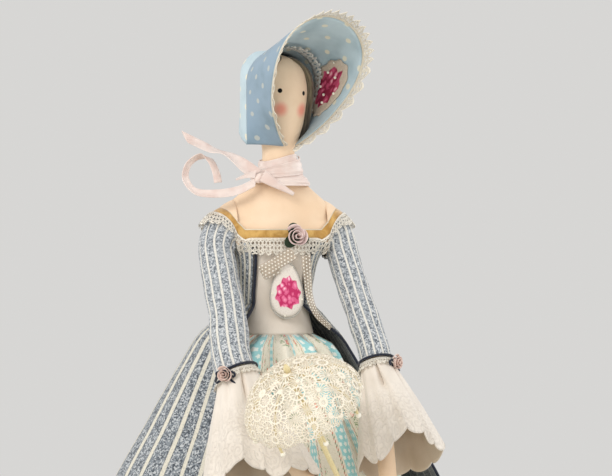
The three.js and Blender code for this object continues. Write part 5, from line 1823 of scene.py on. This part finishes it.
sew("Neck_ribbon_band", at_neck_band, (110, 24), 0.5, [mat_silk],
    "doll", "silk_ribbon", "neck_ribbon_band", closed=True)


def neck_wrap(name, start, end, low, high, width, stand):
    """One turn of the ribbon over the front of the neck, between two angles and two heights."""
    def at(u, v):
        angle = radians(lerp(start, end, u))
        height = lerp(low, high, u) + v * lerp(width[0], width[1], u)
        bulge = 1.4 * sin(v * pi) + 0.3 * sin(v * 17 + u * 5)
        spread = profile(TORSO, min(height, NECK_TOP), 1) * 0.9 + stand + bulge
        return vec(sin(angle) * spread, -cos(angle) * spread, height)

    sew(name, at, (70, 16), 0.5, [mat_silk], "doll", "silk_ribbon")


neck_wrap("Neck_ribbon_wrap", -62, 100, 400.5, 405.5, (6.5, 11), 4.2)
neck_wrap("Neck_ribbon_under_wrap", -20, 100, 396.5, 397, (5, 8.5), 3.2)

knot_centre = vec(-15, -16.2, 401.5)


def at_knot(u, v):
    angle = u * tau
    turn = v * pi
    r = sin(turn) * (1 + 0.12 * sin(3 * angle + 4 * v))
    reach = r * cos(angle)
    return knot_centre + vec(4.0 * reach, 2.4 * r * sin(angle), 3.3 * cos(turn) + 0.8 * reach)


knot = surface("Neck_ribbon_knot", at_knot, 36, 20, closed=True, caps=True)
paint(outward(knot), satin("knot silk", srgb(240, 220, 210), srgb(224, 198, 188), 1.0))
place(knot, "doll", "silk_ribbon", "neck_ribbon_knot")
ribbon("Neck_ribbon_tail", [
    (-17, -16, 403.5, 0.6, 0.2, 0.7),
    (-24, -14.5, 409, 0.5, 0.3, 0.8),
    (-32, -13, 414.5, 0.2, 0.7, 0.6),
    (-39.5, -12, 418, 0, 0.95, 0.3),
    (-50, -11, 422, -0.3, 0.5, 0.8),
    (-63, -10, 428, -0.4, 0.3, 0.85),
], 9, 90, mat_silk, "silk_ribbon", "neck_ribbon_tail", wave=0.8)
ribbon("Neck_ribbon_loop", [
    (-18, -17.8, 399, 0.2, 0.2, 0.9),
    (-30, -19, 393.5, 0.1, 0.3, 0.9),
    (-44, -19, 391.5, 0.1, 0.5, 0.85),
    (-57, -16, 393, 0.3, 0.7, 0.7),
    (-62.5, -11, 401, 0.8, 0.6, 0.2),
    (-60, -6, 410, 0.6, 0.7, -0.4),
    (-52, -3, 415.5, 0.1, 0.8, -0.6),
    (-46, -4, 413.5, 0.7, 0.7, 0.2),
    (-42, -6, 405, 0.9, 0.5, 0.1),
    (-41, -8, 398.5, 0.9, 0.4, 0.1),
], 6, 130, mat_silk, "silk_ribbon", "neck_ribbon_loop", wave=0.6)
ribbon("Neck_ribbon_front", [
    (-14, -18.6, 403, 0.5, 0, 0.85),
    (-8, -20.4, 399, 0.5, 0, 0.85),
    (-1, -21.4, 395, 0.5, 0, 0.85),
    (6, -21.6, 391, 0.5, 0, 0.85),
], 8, 40, mat_silk, "silk_ribbon", "neck_ribbon_front", wave=0.5, narrow=0.25)
ribbon("Neck_ribbon_short_tail", [
    (-18, -17.2, 404, 0.2, 0.2, 0.9),
    (-24, -17.4, 403, 0.2, 0.2, 0.9),
    (-31, -17.2, 400.5, 0.2, 0.2, 0.9),
], 5.5, 24, mat_silk, "silk_ribbon", wave=0.3, narrow=0.2)

# Parasol, in its own frame: the axis is +Z and the canopy's rim lies at z = 0

parasol_turn = Z_AXIS.rotation_difference(PARASOL_AXIS).to_matrix()
CANOPY_RADIUS, CANOPY_DEPTH, RIBS, SCALLOPS = 37.5, 27, 8, 16


def to_parasol(p):
    return parasol_turn @ p + CANOPY


def canopy_point(angle, share):
    bend = share * pi / 2
    gore = 1 - 0.035 * sin(bend) * (1 - cos(RIBS * angle)) * 0.5
    reach = CANOPY_RADIUS * sin(bend) * gore
    return vec(cos(angle) * reach, sin(angle) * reach, CANOPY_DEPTH * cos(bend))


CANOPY_INNER = asin(1.95 / CANOPY_RADIUS) / (pi / 2)


def at_canopy(u, v):
    angle = u * tau
    scallop = 1 + (3 / 60) * abs(sin(SCALLOPS * angle / 2)) * v ** 3
    picot = 1 + 0.012 * sin(SCALLOPS * 4 * angle) * smooth(v, 0.93, 1)
    return to_parasol(canopy_point(angle, lerp(CANOPY_INNER, 0.97, v) * scallop * picot))


LACE_ROUND, LACE_MIDDLE = 62.0, 200.0


def canopy_map(u, v):
    angle = u * tau
    reach = lerp(CANOPY_INNER, 1.0, v) * LACE_ROUND
    return (cos(angle) * reach + LACE_MIDDLE, sin(angle) * reach + LACE_MIDDLE)


sew("Parasol_canopy", at_canopy, (384, 40), 0.6, [mat_parasol], "parasol", "parasol_lace", "parasol_canopy",
    closed=True, uv=canopy_map)

# The stick's radius and height
STICK = [
    (0.01, -103), (1.6, -102.8), (2.7, -101.6), (3, -100),
    (2.4, -98), (1.6, -96), (1.6, CANOPY_DEPTH + 1), (2, CANOPY_DEPTH + 2),
    (1.9, CANOPY_DEPTH + 3.2), (1.0, CANOPY_DEPTH + 5), (0.01, CANOPY_DEPTH + 6),
]


def at_stick(u, v):
    where = v * (len(STICK) - 1)
    i = min(int(where), len(STICK) - 2)
    t = where - i
    r, z = lerp(STICK[i][0], STICK[i + 1][0], t), lerp(STICK[i][1], STICK[i + 1][1], t)
    return to_parasol(vec(cos(u * tau) * r, sin(u * tau) * r, z))


stick = surface("Parasol_stick", at_stick, 20, 60, closed=True)
paint(outward(stick), mat_wood)
place(stick, "parasol", "parasol_wood", "parasol_stick")
for number in range(RIBS):
    angle = number / RIBS * tau
    inset = 0.5 + 0.85 + 0.8
    points = []
    for i in range(7):
        share = lerp(0.1, 1, i / 6)
        lean = share * 1.4
        inward = vec(-cos(angle) * sin(lean), -sin(angle) * sin(lean), -cos(lean))
        points.append(canopy_point(angle, share) + inward * inset)
    end = points[-1] + vec(0, 0, -6)
    points.append(end)
    wire = paint(tube("rib", [to_parasol(p) for p in points], 0.8, 8, 40), mat_wood)
    tip = paint(bead(to_parasol(end), 1.7), mat_pearl)
    rib = join("Parasol_rib_%d" % (number + 1), [wire, tip])
    place(rib, "parasol", "parasol_wood", "parasol_rib_%d" % (number + 1))

# Camera, stage and light

PHOTO_WIDTH, FOCAL_PIXELS, SENSOR = 612, 2307.7, 36
camera_data = bpy.data.cameras.new("Camera")
camera_data.sensor_width = SENSOR
camera_data.lens = SENSOR * FOCAL_PIXELS / PHOTO_WIDTH
camera = link("Camera", camera_data)
camera.location = (-0.2941, -1.4710, 0.363)
camera.rotation_euler = (pi / 2, 0, radians(-12))
bpy.context.scene.camera = camera

FLOOR_RADIUS, FLOOR_PLAIN = 2.0, 0.7


def stage_material():
    """Pale paper that fades out towards the floor's edge, so that no horizon shows from any side."""
    g = Graph("stage paper", 0.95, specular=0.1)
    g.colour(srgb(226, 224, 218))
    far = g.nodes.new("ShaderNodeVectorMath")
    far.operation = "LENGTH"
    g.links.new(g.space(), far.inputs[0])
    g.alpha(g.ramp(Value(g, far.outputs["Value"]), (FLOOR_RADIUS - 0.05) / MM, FLOOR_PLAIN / MM))
    return g.material


def at_stage(u, v):
    return vec(lerp(-FLOOR_RADIUS, FLOOR_RADIUS, u), lerp(-FLOOR_RADIUS, FLOOR_RADIUS, v), 0) / MM


stage = surface("Stage", at_stage, 8, 8)
stage.location.z = -0.0004
paint(stage, stage_material())


# Each light's name, place, the height that it aims at, its size, power and tint
LIGHTS = [
    ("Key", (-1.15, -1.15, 1.25), 0.32, 0.8, 15.0, (1.0, 0.98, 0.95)),
    ("Fill", (1.2, -1.1, 0.7), 0.3, 1.0, 6.5, (0.96, 0.98, 1.0)),
    ("Side left", (-1.5, -0.3, 0.85), 0.38, 0.9, 1.6, (1, 1, 1)),
    ("Rim left", (-1.0, 0.7, 0.9), 0.35, 0.7, 2.2, (1, 1, 1)),
    ("Rim right", (1.1, 0.6, 0.9), 0.35, 0.7, 6.0, (1, 1, 1)),
]
for name, where, aim, size, power, tint in LIGHTS:
    data = bpy.data.lights.new(name, "AREA")
    data.shape = "SQUARE"
    data.size = size
    data.energy = power
    data.color = tint
    lamp = link(name, data)
    lamp.location = where
    lamp.rotation_euler = (vec(0, 0, aim) - Vector(where)).to_track_quat("-Z", "Y").to_euler()

world = bpy.data.worlds.new("World")
world.use_nodes = True
sky = world.node_tree.nodes["Background"].inputs
sky["Color"].default_value = (1.0, 0.99, 0.97, 1.0)
sky["Strength"].default_value = 0.68
bpy.context.scene.world = world
bpy.context.scene.view_settings.view_transform = "Standard"
